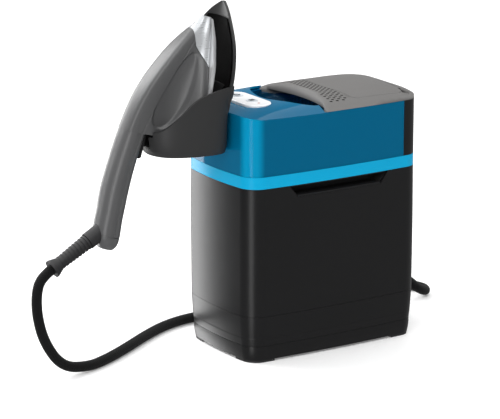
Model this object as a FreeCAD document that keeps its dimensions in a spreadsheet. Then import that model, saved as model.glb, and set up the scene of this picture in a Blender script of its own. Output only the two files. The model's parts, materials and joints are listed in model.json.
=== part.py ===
"""A pressurised garment steamer: a boiler base with a lift-out water tank, a docked steam head and its hose.

Millimetres, +Z up. The origin is on the floor under the centre of the base. The dock and the head stand
off the base's front, towards -Y, and the hose enters at the rear, +Y.
"""
import FreeCAD
import Part
import math
import os

import Sketcher
from FreeCAD import Placement, Rotation, Vector

SIZES = {
    # base plan and levels
    "base_long": 218.5, "base_wide": 134.0, "side_bow": 3.8, "front_bow": 6.2, "rear_bow": 2.0,
    "front_corner": 22.6, "rear_corner": 18.0, "wall": 2.6, "seam": 0.3, "mid_bulge": 0.4,
    "foot_high": 2.6, "foot_long": 32.0, "tray_top": 19.0, "skirt_top": 53.0, "housing_top": 195.8,
    "band_top": 209.2, "rim_top": 271.0, "groove_deep": 4.6, "groove_top": 27.0,
    "tray_inset": 2.4, "tray_taper": 1.8, "bay_front": -17.0, "rear_split": 88.0,
    # side grips under the band
    "grip_long": 129.0, "grip_high": 13.0, "grip_deep": 17.0, "grip_centre": 2.5, "grip_slant": 10.0,
    # deck, tank and lid
    "deck_wall": 2.4, "chassis_thick": 3.0, "ledge_high": 2.4, "tank_gap": 0.8, "tank_wall": 2.0,
    "bowl_half": 57.0, "bowl_long": 36.0, "bowl_deep": 30.0, "bowl_centre": -17.0, "cover_wall": 2.4,
    "bar_wide": 27.0, "bar_under": 1.5, "lid_half": 55.0, "lid_front": 25.0, "lid_back": 97.0, "lid_corner": 9.0,
    "filler_radius": 21.0, "filler_y": 66.0, "hinge_radius": 2.6, "hinge_pin": 1.25, "run_gap": 0.06,
    # control panel
    "panel_long": 76.0, "panel_wide": 31.0, "panel_y": -74.0, "panel_low": 275.2, "panel_thick": 5.0,
    "button_radius": 6.4, "button_gap": 0.35, "button_rise": 0.9, "button_travel": 1.5,
    "power_x": -18.0, "mode_x": 12.0, "led_x": 26.5, "led_radius": 1.5,
    # dock
    "dock_wall": 3.0, "dock_rear_wall": 5.0, "dock_gap": 0.5, "dock_floor": 236.0, "dock_low": 229.0, "dock_trim": 4.6,
    "notch_half": 10.5, "notch_flare": 5.7, "liner_thick": 1.4,
    # boiler and water parts
    "boiler_radius": 48.0, "boiler_low": 62.0, "boiler_split": 92.0, "boiler_top": 122.0,
    "boiler_wall": 3.0, "flange_wide": 8.0, "flange_thick": 3.0, "gasket_thick": 1.2, "boiler_y": -22.0,
    "bolt_radius": 2.0, "pump_radius": 17.0, "pump_high": 52.0, "pump_x": 24.0, "pump_y": 64.0,
    "valve_x": 0.0, "valve_y": 78.0, "valve_radius": 5.0,
    # steam head, in its own frame: sole on z = 0, tip at y = 0, heel towards -y
    "sole_thick": 4.0, "sole_long": 146.0, "sole_half": 40.0, "head_lean": 17.0, "head_tip_high": 376.0,
    "head_ahead": 0.8, "head_wall": 2.4, "handle_end": 262.0,
    "trigger_half": 8.0, "trigger_pin": 1.5,
    # hose
    "hose_radius": 5.7, "coil_radius": 62.0, "coil_x": -150.0, "coil_y": 70.0, "coil_high": 34.7,
    "gland_x": -38.0, "gland_z": 41.5,
}

doc = FreeCAD.newDocument("garment_steamer")
sheet = doc.addObject("Spreadsheet::Sheet", "Sizes")
for row, (alias, value) in enumerate(SIZES.items(), start=1):
    sheet.set(f"A{row}", alias)
    sheet.set(f"B{row}", str(value))
    sheet.setAlias(f"B{row}", alias)
doc.recompute()

NODES = {}


def size(alias):
    return float(getattr(sheet, alias))


def node(name, thing):
    """Name a document object as one of the steamer's pieces."""
    thing.Label = name
    NODES[name] = thing
    return thing


def solid_node(name, shape, place=None):
    """A piece whose curved shape is made with Part's functions from the sheet's sizes."""
    thing = doc.addObject("Part::Feature", "shape_" + name)
    thing.Shape = shape
    if place is not None:
        thing.Placement = place
    return node(name, thing)


def bind(thing, **formulas):
    """Tie properties to the sheet; a property such as Placement.Base.z is written Placement_Base_z."""
    for prop, formula in formulas.items():
        thing.setExpression(prop.replace("_", ".") if prop.startswith("Placement") else prop, formula)
    return thing


def cylinder(name, radius, height, x="0", y="0", z="0", turn=None):
    """A Part cylinder bound to the sheet. turn is an (axis, angle) pair."""
    thing = doc.addObject("Part::Cylinder", name)
    if turn:
        thing.Placement = Placement(Vector(), Rotation(turn[0], turn[1]))
    return bind(thing, Radius=radius, Height=height, Placement_Base_x=x, Placement_Base_y=y,
                Placement_Base_z=z)


def block(name, length, width, height, x, y, z):
    """A Part box bound to the sheet, centred on x and y, standing on z."""
    thing = doc.addObject("Part::Box", name)
    return bind(thing, Length=length, Width=width, Height=height, Placement_Base_x=f"{x} - ({length}) / 2",
                Placement_Base_y=f"{y} - ({width}) / 2", Placement_Base_z=z)


def boolean(kind, name, *things):
    """A Part::Cut, Part::MultiFuse or Part::MultiCommon of document objects."""
    result = doc.addObject("Part::" + kind, name)
    if kind == "Cut":
        result.Base, result.Tool = things
    elif kind == "Compound":
        result.Links = list(things)
    else:
        result.Shapes = list(things)
    return result


def origin_plane(body, role):
    return next(f for f in body.Origin.OriginFeatures if f.Role == role)


def body_sketch(body, name, role="XY_Plane"):
    sketch = body.newObject("Sketcher::SketchObject", name)
    sketch.AttachmentSupport = [(origin_plane(body, role), "")]
    sketch.MapMode = "FlatFace"
    return sketch


def disc_body(name, radius, thick, x="0", y="0", z="0", hole=None, turn=None):
    """A PartDesign disc or ring: one sketch with its circles bound to the sheet, and one pad."""
    body = doc.addObject("PartDesign::Body", name)
    sketch = body_sketch(body, name + "_sketch")
    for index, formula in enumerate([radius] + ([hole] if hole else [])):
        sketch.addGeometry(Part.Circle(Vector(), Vector(0, 0, 1), 10.0 - 4 * index), False)
        sketch.addConstraint(Sketcher.Constraint("Coincident", index, 3, -1, 1))
        number = sketch.addConstraint(Sketcher.Constraint("Radius", index, 10.0 - 4 * index))
        sketch.setExpression(f"Constraints[{number}]", formula)
    pad = body.newObject("PartDesign::Pad", name + "_pad")
    pad.Profile = sketch
    pad.setExpression("Length", thick)
    if turn:
        body.Placement = Placement(Vector(), Rotation(turn[0], turn[1]))
    bind(body, Placement_Base_x=x, Placement_Base_y=y, Placement_Base_z=z)
    return body


def turned_body(name, profile, x="0", y="0", z="0"):
    """A PartDesign revolution about the body's own vertical axis of a closed (radius, height) outline."""
    body = doc.addObject("PartDesign::Body", name)
    sketch = body_sketch(body, name + "_sketch", "XZ_Plane")
    corners = [Vector(r, h, 0) for r, h in profile]
    for start, end in zip(corners, corners[1:] + corners[:1]):
        sketch.addGeometry(Part.LineSegment(start, end), False)
    turned = body.newObject("PartDesign::Revolution", name + "_revolution")
    turned.Profile = sketch
    turned.ReferenceAxis = (sketch, ["V_Axis"])
    turned.Angle = 360.0
    bind(body, Placement_Base_x=x, Placement_Base_y=y, Placement_Base_z=z)
    return body


# ---------------------------------------------------------------- shared curves and volumes

WALL = size("wall")
FRONT_Y = -size("base_long") / 2 - size("front_bow")
REAR_Y = size("base_long") / 2 + size("rear_bow")
HALF_WIDE = size("base_wide") / 2
RIM = size("rim_top")


def box(x0, x1, y0, y1, z0, z1):
    return Part.makeBox(x1 - x0, y1 - y0, z1 - z0, Vector(x0, y0, z0))


def bow(half_chord, rise, outward, reach):
    """Centre and radius of one bowed side that bulges by rise at a distance reach from the origin."""
    radius = (half_chord ** 2 + rise ** 2) / (2 * rise)
    return outward * (reach - radius), radius


def corner_centre(first, second, radius, near):
    """Centre of the circle of this radius that touches two bows from inside, next to a corner."""
    (c1, r1), (c2, r2) = first, second
    r1, r2, gap = r1 - radius, r2 - radius, (c2 - c1).Length
    along = (r1 ** 2 - r2 ** 2 + gap ** 2) / (2 * gap)
    across = math.sqrt(r1 ** 2 - along ** 2)
    direction = (c2 - c1) / gap
    foot = c1 + direction * along
    normal = Vector(-direction.y, direction.x)
    return min((foot + normal * across, foot - normal * across), key=lambda p: (p - near).Length)


HALF_LONG = size("base_long") / 2
BOWS = [bow(HALF_LONG, size("side_bow"), Vector(1, 0), HALF_WIDE + size("side_bow")),
        bow(HALF_WIDE, size("rear_bow"), Vector(0, 1), REAR_Y),
        bow(HALF_LONG, size("side_bow"), Vector(-1, 0), HALF_WIDE + size("side_bow")),
        bow(HALF_WIDE, size("front_bow"), Vector(0, -1), -FRONT_Y)]
CORNERS = [(corner_centre(BOWS[i], BOWS[(i + 1) % 4], size(corner), Vector(x * HALF_WIDE, y * HALF_LONG)),
            size(corner))
           for i, (corner, x, y) in enumerate([("rear_corner", 1, 1), ("rear_corner", -1, 1),
                                               ("front_corner", -1, -1), ("front_corner", 1, -1)])]


def outline(inset, z):
    """The base's plan at a height, set in all round: bowed sides joined by tangent corner arcs."""
    def touch(bow_number, corner_number):
        centre, radius = BOWS[bow_number]
        direction = (CORNERS[corner_number][0] - centre).normalize()
        return centre + direction * (radius - inset)

    edges, lift = [], Vector(0, 0, z)
    outward = [Vector(1, 0), Vector(0, 1), Vector(-1, 0), Vector(0, -1)]
    for i in range(4):
        centre, radius = BOWS[i]
        start, end = touch(i, (i - 1) % 4), touch(i, i)
        edges.append(Part.Arc(start + lift, centre + outward[i] * (radius - inset) + lift, end + lift).toShape())
        corner, corner_radius = CORNERS[i]
        bisector = (outward[i] + outward[(i + 1) % 4]).normalize()
        following = touch((i + 1) % 4, i)
        edges.append(Part.Arc(end + lift, corner + bisector * (corner_radius - inset) + lift,
                              following + lift).toShape())
    return Part.Wire(edges)


def prism(inset, z0, z1):
    return Part.Face(outline(inset, z0)).extrude(Vector(0, 0, z1 - z0))


def stacked(levels, inset=0.0):
    """A closed solid lofted through the base's outline at (z, inset) levels."""
    return Part.makeLoft([outline(own + inset, z) for z, own in levels], True, False)


def shell(levels, wall=WALL, inner=None):
    """An open-ended wall that follows the levels."""
    inside = [(z, own) for z, own in (inner or levels)]
    inside[0] = (inside[0][0] - 1, inside[0][1])
    inside[-1] = (inside[-1][0] + 1, inside[-1][1])
    return stacked(levels).cut(stacked(inside, wall))


def crown_section(y, crown, edge, drop):
    """One cross-section of the crowned top: flat below, a smooth arched line above."""
    far = HALF_WIDE + size("side_bow") + 12
    half = HALF_WIDE + size("side_bow")
    top = RIM - drop
    points = [Vector(-far, y, top - 5), Vector(-half, y, top), Vector(-half + 14, y, top + edge),
              Vector(0, y, top + crown), Vector(half - 14, y, top + edge), Vector(half, y, top),
              Vector(far, y, top - 5)]
    arch = Part.BSplineCurve()
    arch.interpolate(points)
    low = size("tray_top")
    left, right = Vector(-far, y, low), Vector(far, y, low)
    return Part.Wire([arch.toShape(), Part.makeLine(points[-1], right), Part.makeLine(right, left),
                      Part.makeLine(left, points[0])])


def crowned(drop=0.0):
    """Everything under the base's crowned top surface, lowered by drop."""
    stations = [(FRONT_Y - 5, 3.5, 2.6), (FRONT_Y + 35, 6.4, 4.6), (-35, 9.4, 6.2), (10, 12.3, 6.6),
                (55, 13.2, 6.4), (REAR_Y - 15, 10.3, 5.2), (REAR_Y + 5, 4.0, 2.6)]
    return Part.makeLoft([crown_section(y, c, e, drop) for y, c, e in stations], True, False)


CROWN = crowned()


def capped(inset, drop, z0):
    """The base's plan volume from z0 up to the crowned top."""
    return prism(inset, z0, RIM + 40).common(CROWN if drop == 0 else crowned(drop))


def rounded_box(x0, x1, y0, y1, z0, z1, corner):
    solid = box(x0, x1, y0, y1, z0, z1)
    upright = [e for e in solid.Edges if abs(e.Vertexes[0].Z - e.Vertexes[1].Z) > 1e-6]
    return solid.makeFillet(corner, upright)


def stadium(cx, cy, long, wide, z0, z1):
    return rounded_box(cx - long / 2, cx + long / 2, cy - wide / 2, cy + wide / 2, z0, z1, wide / 2 - 0.01)


def lens(grow, z0, z1):
    """The finger bowl's plan: half an ellipse in front of the tank bay, plus a lap behind."""
    wide, long = size("bowl_half") + grow, size("bowl_long") + grow
    ellipse = Part.Ellipse(Vector(0, size("bowl_centre"), z0), wide, long)
    return Part.Face(Part.Wire(ellipse.toShape())).extrude(Vector(0, 0, z1 - z0))


# ---------------------------------------------------------------- base casings

def base_parts():
    seam = size("seam")
    tray_top, skirt_top, housing_top = size("tray_top"), size("skirt_top"), size("housing_top")
    foot = size("foot_high")
    inset, taper = size("tray_inset"), size("tray_taper")

    tray_levels = [(foot, inset + taper), (foot + 6, inset + taper / 3), (tray_top - seam, inset)]
    tray_inside = [(foot + WALL, inset + taper), (foot + 6, inset + taper / 3), (tray_top - seam, inset)]
    tray = stacked(tray_levels)
    inside = [tray_inside[0], tray_inside[1], (tray_top + 1, inset)]
    tray = tray.cut(stacked(inside, WALL))
    floor_z = foot + WALL
    posts = []
    for x in (-1, 1):
        for y in (-1, 1):
            at = Vector(x * (HALF_WIDE - 22), y * (size("base_long") / 2 - 24), floor_z - 0.5)
            posts.append(Part.makeCylinder(5, tray_top - floor_z - 2, at))
    tray = tray.fuse(posts)
    for x in (-1, 1):
        for y in (-1, 1):
            at = Vector(x * (HALF_WIDE - 22), y * (size("base_long") / 2 - 24), foot - 1)
            tray = tray.cut(Part.makeCylinder(1.7, tray_top, at))
            tray = tray.cut(Part.makeCylinder(3.2, 2.1, at))
    tray = tray.cut(Part.makeCylinder(7.3, 10, Vector(0, size("boiler_y"), foot - 1)))
    solid_node("base_tray", tray)

    foot_long = size("foot_long")
    pads = prism(inset + taper + 0.4, 0, foot)
    feet = []
    for x in (-1, 1):
        for y in (-1, 1):
            x0, y0 = x * HALF_WIDE, y * (size("base_long") / 2)
            corner = box(min(x0 + x * 9, x0 - x * foot_long), max(x0 + x * 9, x0 - x * foot_long),
                         min(y0 + y * 9, y0 - y * foot_long), max(y0 + y * 9, y0 - y * foot_long), -1, foot + 1)
            feet.append(pads.common(corner))
    solid_node("rubber_feet", Part.makeCompound([s for f in feet for s in f.Solids]))

    skirt_levels = [(tray_top, inset), ((tray_top + skirt_top) / 2, inset / 2.6), (skirt_top - seam, 0)]
    skirt = shell(skirt_levels)
    channel = prism(-6, tray_top - 1, size("groove_top")).cut(
        prism(inset + size("groove_deep"), tray_top - 2, size("groove_top") + 1))
    along_side = box(-HALF_WIDE - 20, -HALF_WIDE + 30, -size("base_long") / 2 + 30, REAR_Y + 20,
                     tray_top - 1, size("groove_top"))
    along_rear = box(-HALF_WIDE - 20, HALF_WIDE - 30, REAR_Y - 30, REAR_Y + 20, tray_top - 1,
                     size("groove_top"))
    channel = channel.common(along_side.fuse(along_rear))
    backing = prism(inset + size("groove_deep"), tray_top, size("groove_top") + WALL).cut(
        prism(inset + size("groove_deep") + WALL, tray_top - 1, size("groove_top") + WALL + 1))
    skirt = skirt.fuse(backing.fuse(prism(1.5, size("groove_top"), size("groove_top") + WALL).cut(
        prism(inset + size("groove_deep") + WALL, 0, 60)))).cut(channel)
    gland = Part.makeCylinder(8.2, 30, Vector(size("gland_x"), REAR_Y - 15, size("gland_z")), Vector(0, 1, 0))
    skirt = skirt.cut(gland)
    inlet = Part.makeCylinder(5.4, 30, Vector(-size("gland_x"), REAR_Y - 15, size("gland_z")), Vector(0, 1, 0))
    skirt = skirt.cut(inlet).removeSplitter()
    solid_node("base_skirt", skirt)

    bulge = size("mid_bulge")
    housing_levels = [(skirt_top, 0), ((skirt_top + housing_top) / 2, -bulge), (housing_top - seam, 0)]
    housing = shell(housing_levels)
    for side in (-1, 1):
        housing = housing.cut(grip_space(side, 0.0))
    solid_node("main_housing", housing)
    cups = [grip_space(side, -seam).cut(grip_hollow(side)).common(prism(WALL, skirt_top, housing_top - seam))
            for side in (-1, 1)]
    solid_node("grip_cups", Part.makeCompound([keep_largest(cup) for cup in cups]))

    band = prism(0, housing_top, size("band_top") - seam).cut(prism(WALL, housing_top - 1, size("band_top")))
    ledge = prism(WALL - 0.5, housing_top, housing_top + size("ledge_high")).cut(
        prism(WALL + 5, housing_top - 1, housing_top + 10))
    solid_node("trim_band", band.fuse(ledge).removeSplitter())


def grip_outline(side, grow):
    """The grip's slanted outline on the side of the housing: long at the top, shorter below."""
    top = size("housing_top") - size("seam")
    half, slant = size("grip_long") / 2 + grow, size("grip_slant")
    centre = size("grip_centre")
    low = top - size("grip_high") - grow
    points = [Vector(0, centre - half, top), Vector(0, centre + half, top),
              Vector(0, centre + half - slant, low), Vector(0, centre - half + slant, low)]
    return Part.makePolygon(points + points[:1])


def grip_space(side, grow):
    """The block that the grip takes out of the housing's wall and the cup that lines it."""
    wire = grip_outline(side, grow)
    reach = HALF_WIDE + 12 - (HALF_WIDE - size("grip_deep"))
    face = Part.Face(wire.translated(Vector(side * (HALF_WIDE - size("grip_deep")), 0, 0)))
    return face.extrude(Vector(side * reach, 0, 0))


def grip_hollow(side):
    """The finger space inside the cup."""
    wire = grip_outline(side, -0.3 - 1.8)
    deep = size("grip_deep") - 1.8
    face = Part.Face(wire.translated(Vector(side * (HALF_WIDE - deep), 0, -1.8 + 0.0)))
    return face.extrude(Vector(side * (deep + 14), 0, 0))


def upper_parts():
    seam = size("seam")
    band_top, housing_top = size("band_top"), size("housing_top")
    bay = size("bay_front")
    rear_split = size("rear_split")
    deck_wall = size("deck_wall")
    walls = prism(0, band_top, RIM).cut(prism(WALL, band_top - 1, RIM + 1))
    deck = capped(0, 0, RIM - 3).cut(capped(WALL, deck_wall, RIM - 6))
    deck = deck.common(box(-200, 200, -300, bay - seam, RIM - 4, RIM + 40))
    glass = walls.fuse(deck).cut(lens(seam + size("tank_gap"), RIM - 20, RIM + 40))
    glass = glass.cut(box(-200, 200, rear_split, 300, band_top - 1, RIM + 40))
    glass = glass.cut(stadium(0, size("panel_y"), size("panel_long") + 0.6, size("panel_wide") + 0.6,
                              RIM - 20, RIM + 40))
    glass = glass.cut(dock_arm(0.4)).removeSplitter()
    solid_node("upper_shell", glass)
    rear = walls.common(box(-200, 200, rear_split + seam, 300, band_top - 1, RIM + 1))
    solid_node("rear_panel", rear)

    # the chassis plate closes the housing and carries the column, the tank and its socket
    plate_z = housing_top + size("ledge_high")
    plate = prism(WALL + 0.4, plate_z, plate_z + size("chassis_thick"))
    plate = plate.cut(Part.makeCylinder(size("valve_radius") + 3.3, 20,
                                        Vector(size("valve_x"), size("valve_y"), plate_z - 5)))
    plate = plate.cut(Part.makeCylinder(6, 20, Vector(0, size("panel_y"), plate_z - 5)))
    solid_node("chassis_plate", plate)

    # the column stands on the plate, inside the clear front, and holds the dock and the controls
    top_z = size("panel_low") - 5.5
    base_z = plate_z + size("chassis_thick")
    column = stadium(0, size("panel_y"), size("panel_long") - 14, size("panel_wide") - 3, base_z, top_z)
    column = column.cut(stadium(0, size("panel_y"), size("panel_long") - 20, size("panel_wide") - 9,
                                base_z - 1, top_z - 2.4))
    column = column.cut(box(-4, 4, size("panel_y") - 4, size("panel_y") + 4, top_z - 5, top_z + 5))
    solid_node("front_column", column.fuse(dock_arm(0.0)).cut(screw_line(1.6, 40)).removeSplitter())
    return base_z, top_z


def dock_arm(grow):
    """The short arm from the column through the clear front to the dock's back."""
    y0 = size("panel_y") - size("panel_wide") / 2 + 1.5
    return box(-15 - grow, 15 + grow, FRONT_Y - size("dock_gap"), y0 + 2, 238 - grow, 258 + grow)


def screw_line(radius, deep):
    """The two screw holes through the dock's back into the arm."""
    start = FRONT_Y - size("dock_gap") - 6
    return Part.makeCompound([Part.makeCylinder(radius, deep, Vector(x, start, 248), Vector(0, 1, 0))
                              for x in (-9, 9)])


# ---------------------------------------------------------------- tank

def bowl(grow):
    """The finger bowl: the lower part of an ellipsoid sunk in the tank's top."""
    ball = Part.makeSphere(1.0)
    wide, long, deep = size("bowl_half") + grow, size("bowl_long") + grow, size("bowl_deep") + grow
    stretch = FreeCAD.Matrix()
    stretch.scale(Vector(wide, long, deep))
    return ball.transformGeometry(stretch).translated(Vector(0, size("bowl_centre"), RIM + 3))


def bar_front(lap):
    """The plan region behind the handle bar's curved front edge."""
    half, bay = HALF_WIDE + 20, size("bay_front")
    edge = Part.Arc(Vector(-half, bay - 5 + lap), Vector(0, bay + 16 + lap), Vector(half, bay - 5 + lap))
    rest = Part.makePolygon([Vector(half, bay - 5 + lap), Vector(half, 300), Vector(-half, 300),
                             Vector(-half, bay - 5 + lap)])
    face = Part.Face(Part.Wire([edge.toShape()] + rest.Edges))
    return face.extrude(Vector(0, 0, 200)).translated(Vector(0, 0, RIM - 60))


def lid_region(grow, z0, z1):
    """The lid's plan: bowed at the front, straight at the sides and the hinge."""
    half, front, back = size("lid_half") + grow, size("lid_front") - grow, size("lid_back") + grow
    edge = Part.Arc(Vector(-half, front + 5), Vector(0, front - 4), Vector(half, front + 5))
    rest = Part.makePolygon([Vector(half, front + 5), Vector(half, back), Vector(-half, back),
                             Vector(-half, front + 5)])
    solid = Part.Face(Part.Wire([edge.toShape()] + rest.Edges)).extrude(Vector(0, 0, z1 - z0))
    upright = [e for e in solid.Edges if abs(e.Vertexes[0].Z - e.Vertexes[-1].Z) > 1e-6]
    return solid.makeFillet(size("lid_corner"), upright).translated(Vector(0, 0, z0))


def tank_parts(base_z):
    seam, gap, wall = size("seam"), size("tank_gap"), size("tank_wall")
    bay, inset = size("bay_front") + size("tank_gap"), WALL + size("tank_gap")
    low = base_z + 0.3
    top = RIM - 3.0

    def vessel(shrink, z0, z1):
        back = prism(inset + shrink, z0, z1).common(box(-200, 200, bay + shrink, 300, z0, z1))
        return back.fuse(lens(-shrink, z0, z1))

    outer = vessel(0, low, top)
    outer = outer.fuse(lens(0, top - 1, RIM + 1.5).common(capped(inset, 1.0, top - 1)).cut(
        box(-200, 200, size("bay_front") - seam, 300, top, RIM + 60)))
    hollow = vessel(wall, low + wall, top - wall).cut(bowl(wall))
    tank = outer.cut(bowl(0)).cut(hollow)
    filler = Part.makeCylinder(size("filler_radius"), 20, Vector(0, size("filler_y"), top - 10))
    tank = tank.cut(filler)
    valve = Part.makeCylinder(size("valve_radius") + 0.05, 20,
                              Vector(size("valve_x"), size("valve_y"), low - 5))
    tank = tank.cut(valve)
    ribs = []
    for side in (-1, 1):
        for number in range(11):
            y = bay + 6 + number * 6.0
            x = side * (side_x(y) - inset - wall)
            ribs.append(Part.makeCylinder(0.9, top - low - 14, Vector(x, y, low + 6)))
    tank = tank.fuse(ribs).removeSplitter()
    solid_node("water_tank", tank)

    # grey cover: rim, handle bar and the seat of the lid
    cover_wall = size("cover_wall")
    cover = capped(0.0, 0, top).common(box(-200, 200, size("bay_front"), 300, top, RIM + 60))
    cover = cover.cut(box(-200, 200, -300, 300, top - 1, RIM + seam).cut(
        prism(inset, top - 2, RIM + 2)))
    cover = cover.common(bar_front(0))
    hollow = capped(inset + 2.2, cover_wall, top - 5).common(
        bar_front(size("bar_wide"))).cut(lid_region(1.9, top - 1, RIM + 60))
    under_lid = lid_region(-4.0, top - 1, RIM + 60)
    seat = lid_region(seam, 0, RIM + 60).common(crowned(-5).cut(crowned(cover_wall + seam)))
    grip_under = bowl(0.0).common(box(-200, 200, -200, 200, 0, RIM + size("bar_under")))
    cover = cover.cut(hollow).cut(under_lid).cut(seat).cut(grip_under)
    pin_y, pin_z = hinge_axis()
    trough = Part.makeCylinder(6.2, 200, Vector(-100, pin_y, pin_z), Vector(1, 0, 0)).common(
        box(-size("lid_half") - seam, size("lid_half") + seam, 0, 200, RIM - 6, RIM + 60))
    ears = [Part.makeCylinder(3.0, 5, Vector(x - 2.5, pin_y, pin_z), Vector(1, 0, 0)).fuse(
        box(x - 2.5, x + 2.5, pin_y - 3.0, pin_y + 5.0, top, pin_z)) for x in (-36, 36)]
    arm_room = [box(x - 5.0, x + 5.0, size("lid_back") - 9, pin_y, top, RIM + 60) for x in (-28, 28)]
    cover = cover.cut(trough).cut(arm_room).fuse(ears)
    pin_hole = Part.makeCylinder(size("hinge_pin"), 120, Vector(-60, pin_y, pin_z), Vector(1, 0, 0))
    cover = cover.cut(pin_hole).removeSplitter()
    solid_node("tank_cover", keep_largest(cover))

    lid = lid_region(0, 0, RIM + 60).common(CROWN.cut(crowned(cover_wall)))
    knuckles = []
    for x in (-28, 28):
        barrel = Part.makeCylinder(size("hinge_radius"), 9, Vector(x - 4.5, pin_y, pin_z), Vector(1, 0, 0))
        arm = box(x - 4.5, x + 4.5, size("lid_back") - 6, pin_y, pin_z - 1.6, pin_z + 1.4)
        web = box(x - 4.5, x + 4.5, size("lid_back") - 6, size("lid_back") - 2, pin_z - 1.6, RIM + 40).common(
            crowned(0.8))
        knuckles.append(barrel.fuse([arm, web]))
    lid = lid.fuse(knuckles)
    neck = Part.makeCylinder(size("filler_radius") - 1.2, 9, Vector(0, size("filler_y"), top - 1.0))
    neck = neck.cut(Part.makeCylinder(size("filler_radius") - 3.2, 9, Vector(0, size("filler_y"), top - 2.0)))
    stem = Part.makeCylinder(size("filler_radius") - 1.2, 40, Vector(0, size("filler_y"), top + 5.5)).common(
        crowned(1.0))
    stem = stem.cut(Part.makeCylinder(size("filler_radius") - 3.2, 60, Vector(0, size("filler_y"), top - 2.0)))
    lid = lid.fuse([neck, stem])
    lid = lid.cut(Part.makeCylinder(size("hinge_pin") + size("run_gap"), 120, Vector(-60, pin_y, pin_z),
                                    Vector(1, 0, 0))).removeSplitter()
    solid_node("filler_lid", keep_largest(lid))
    node("lid_hinge_pin", cylinder("hinge_pin_shape", "Sizes.hinge_pin", "77", "-38.5", f"{pin_y}", f"{pin_z}",
                                   (Vector(0, 1, 0), 90)))
    node("lid_seal", disc_body("lid_seal_body", "Sizes.filler_radius - 1.2 - 0.02 + 1.0", "2.0", "0",
                               "Sizes.filler_y", f"{top - 0.9 + 1.0}", "Sizes.filler_radius - 1.2 + 0.02"))
    return low, top


def side_x(y):
    """Half the base's width at a distance along it."""
    half_long = size("base_long") / 2
    return HALF_WIDE + size("side_bow") * (1 - (y / half_long) ** 2)


def hinge_axis():
    """Height and depth of the lid's hinge, from the crown above it."""
    return size("lid_back") + 4.2, RIM + 4.3


def keep_largest(shape):
    return max(shape.Solids, key=lambda s: s.Volume)


base_parts()
column_low, column_top = upper_parts()
tank_low, tank_top = tank_parts(column_low)


# ---------------------------------------------------------------- control panel

def control_parts(column_top):
    panel_y, low = size("panel_y"), size("panel_low")
    long, wide, thick = size("panel_long"), size("panel_wide"), size("panel_thick")
    gap = size("button_gap")
    panel = stadium(0, panel_y, long, wide, low - 4.5, low + thick)
    rim = [e for e in panel.Edges if abs(e.CenterOfMass.z - (low + thick)) < 1e-6]
    panel = panel.makeFillet(1.2, rim)
    panel = panel.cut(stadium(0, panel_y, long - 4, wide - 4, low - 5, low + thick - 2.0))
    for x, radius in (("power_x", size("button_radius") + gap), ("mode_x", size("button_radius") + gap),
                      ("led_x", size("led_radius"))):
        panel = panel.cut(Part.makeCylinder(radius, 20, Vector(size(x), panel_y, low - 5)))
    solid_node("control_panel", panel)

    board_top = column_top + 1.6
    board = doc.addObject("PartDesign::Body", "board_body")
    sketch = body_sketch(board, "board_sketch")
    corners = [Vector(-29, -9), Vector(29, -9), Vector(29, 9), Vector(-29, 9)]
    for start, end in zip(corners, corners[1:] + corners[:1]):
        sketch.addGeometry(Part.LineSegment(start, end), False)
    pad = board.newObject("PartDesign::Pad", "board_pad")
    pad.Profile, pad.Length = sketch, 1.6
    switches = [block(f"switch_{i}", "6", "6", "2.2", f"Sizes.{x}", "Sizes.panel_y", f"{board_top}")
                for i, x in enumerate(("power_x", "mode_x"))]
    bind(board, Placement_Base_y="Sizes.panel_y", Placement_Base_z=f"{column_top}")
    node("control_board", boolean("MultiFuse", "control_board_all", board, *switches))

    flange_low = low + thick - 2.0 - 0.3 - 1.6
    for name, x in (("power_button", "power_x"), ("mode_button", "mode_x")):
        cap_top = low + thick + size("button_rise")
        stem_low = board_top + 2.2 + size("button_travel") + 0.2
        profile = [(0, stem_low), (2.2, stem_low), (2.2, flange_low), (size("button_radius") + 1.6, flange_low),
                   (size("button_radius") + 1.6, flange_low + 1.6), (size("button_radius"), flange_low + 1.6),
                   (size("button_radius"), cap_top - 0.7), (size("button_radius") - 0.7, cap_top),
                   (size("button_radius") * 0.5, cap_top - 0.5), (0, cap_top - 0.7)]
        node(name, turned_body(name + "_body", profile, f"Sizes.{x}", "Sizes.panel_y"))
    lens_low = low + thick - 2.6
    node("status_light", turned_body("status_light_body", [
        (0, lens_low), (size("led_radius") + 1.0, lens_low), (size("led_radius") + 1.0, lens_low + 0.6),
        (size("led_radius") - 0.02, lens_low + 0.6), (size("led_radius") - 0.02, low + thick + 0.1),
        (0, low + thick + 0.3)], "Sizes.led_x", "Sizes.panel_y"))


# ---------------------------------------------------------------- dock

DOCK_BACK = FRONT_Y - size("dock_gap")


def pocket_section(z, rear_half, half, front_y, inset):
    """A rounded U in plan, flat at the rear: the outline of the heel pocket at one height."""
    rear_y = DOCK_BACK - inset * size("dock_rear_wall") / size("dock_wall")
    front = front_y + inset
    half, rear_half = half - inset, rear_half - inset * 0.6
    deep = rear_y - front
    points = [Vector(rear_half, rear_y, z), Vector(half * 0.985, rear_y - deep * 0.17, z),
              Vector(half, rear_y - deep * 0.38, z), Vector(half * 0.88, rear_y - deep * 0.66, z),
              Vector(half * 0.58, rear_y - deep * 0.90, z), Vector(0, front, z)]
    points += [Vector(-p.x, p.y, p.z) for p in reversed(points[:-1])]
    curve = Part.BSplineCurve()
    curve.interpolate(points)
    return Part.Wire([curve.toShape(), Part.makeLine(points[-1], points[0])])


def pocket_levels():
    """(height, half width at the back, greatest half width, front reach) of the pocket."""
    low = size("dock_low")
    front = FRONT_Y - 88.0
    return [(low, 12, 33, front + 17), (low + 6, 14.5, 40, front + 6), (low + 19, 18, 43.5, front + 0.5),
            (low + 40, 25, 45.0, front), (low + 58, 36, 46.0, front), (low + 84, 44, 46.0, front)]


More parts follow.
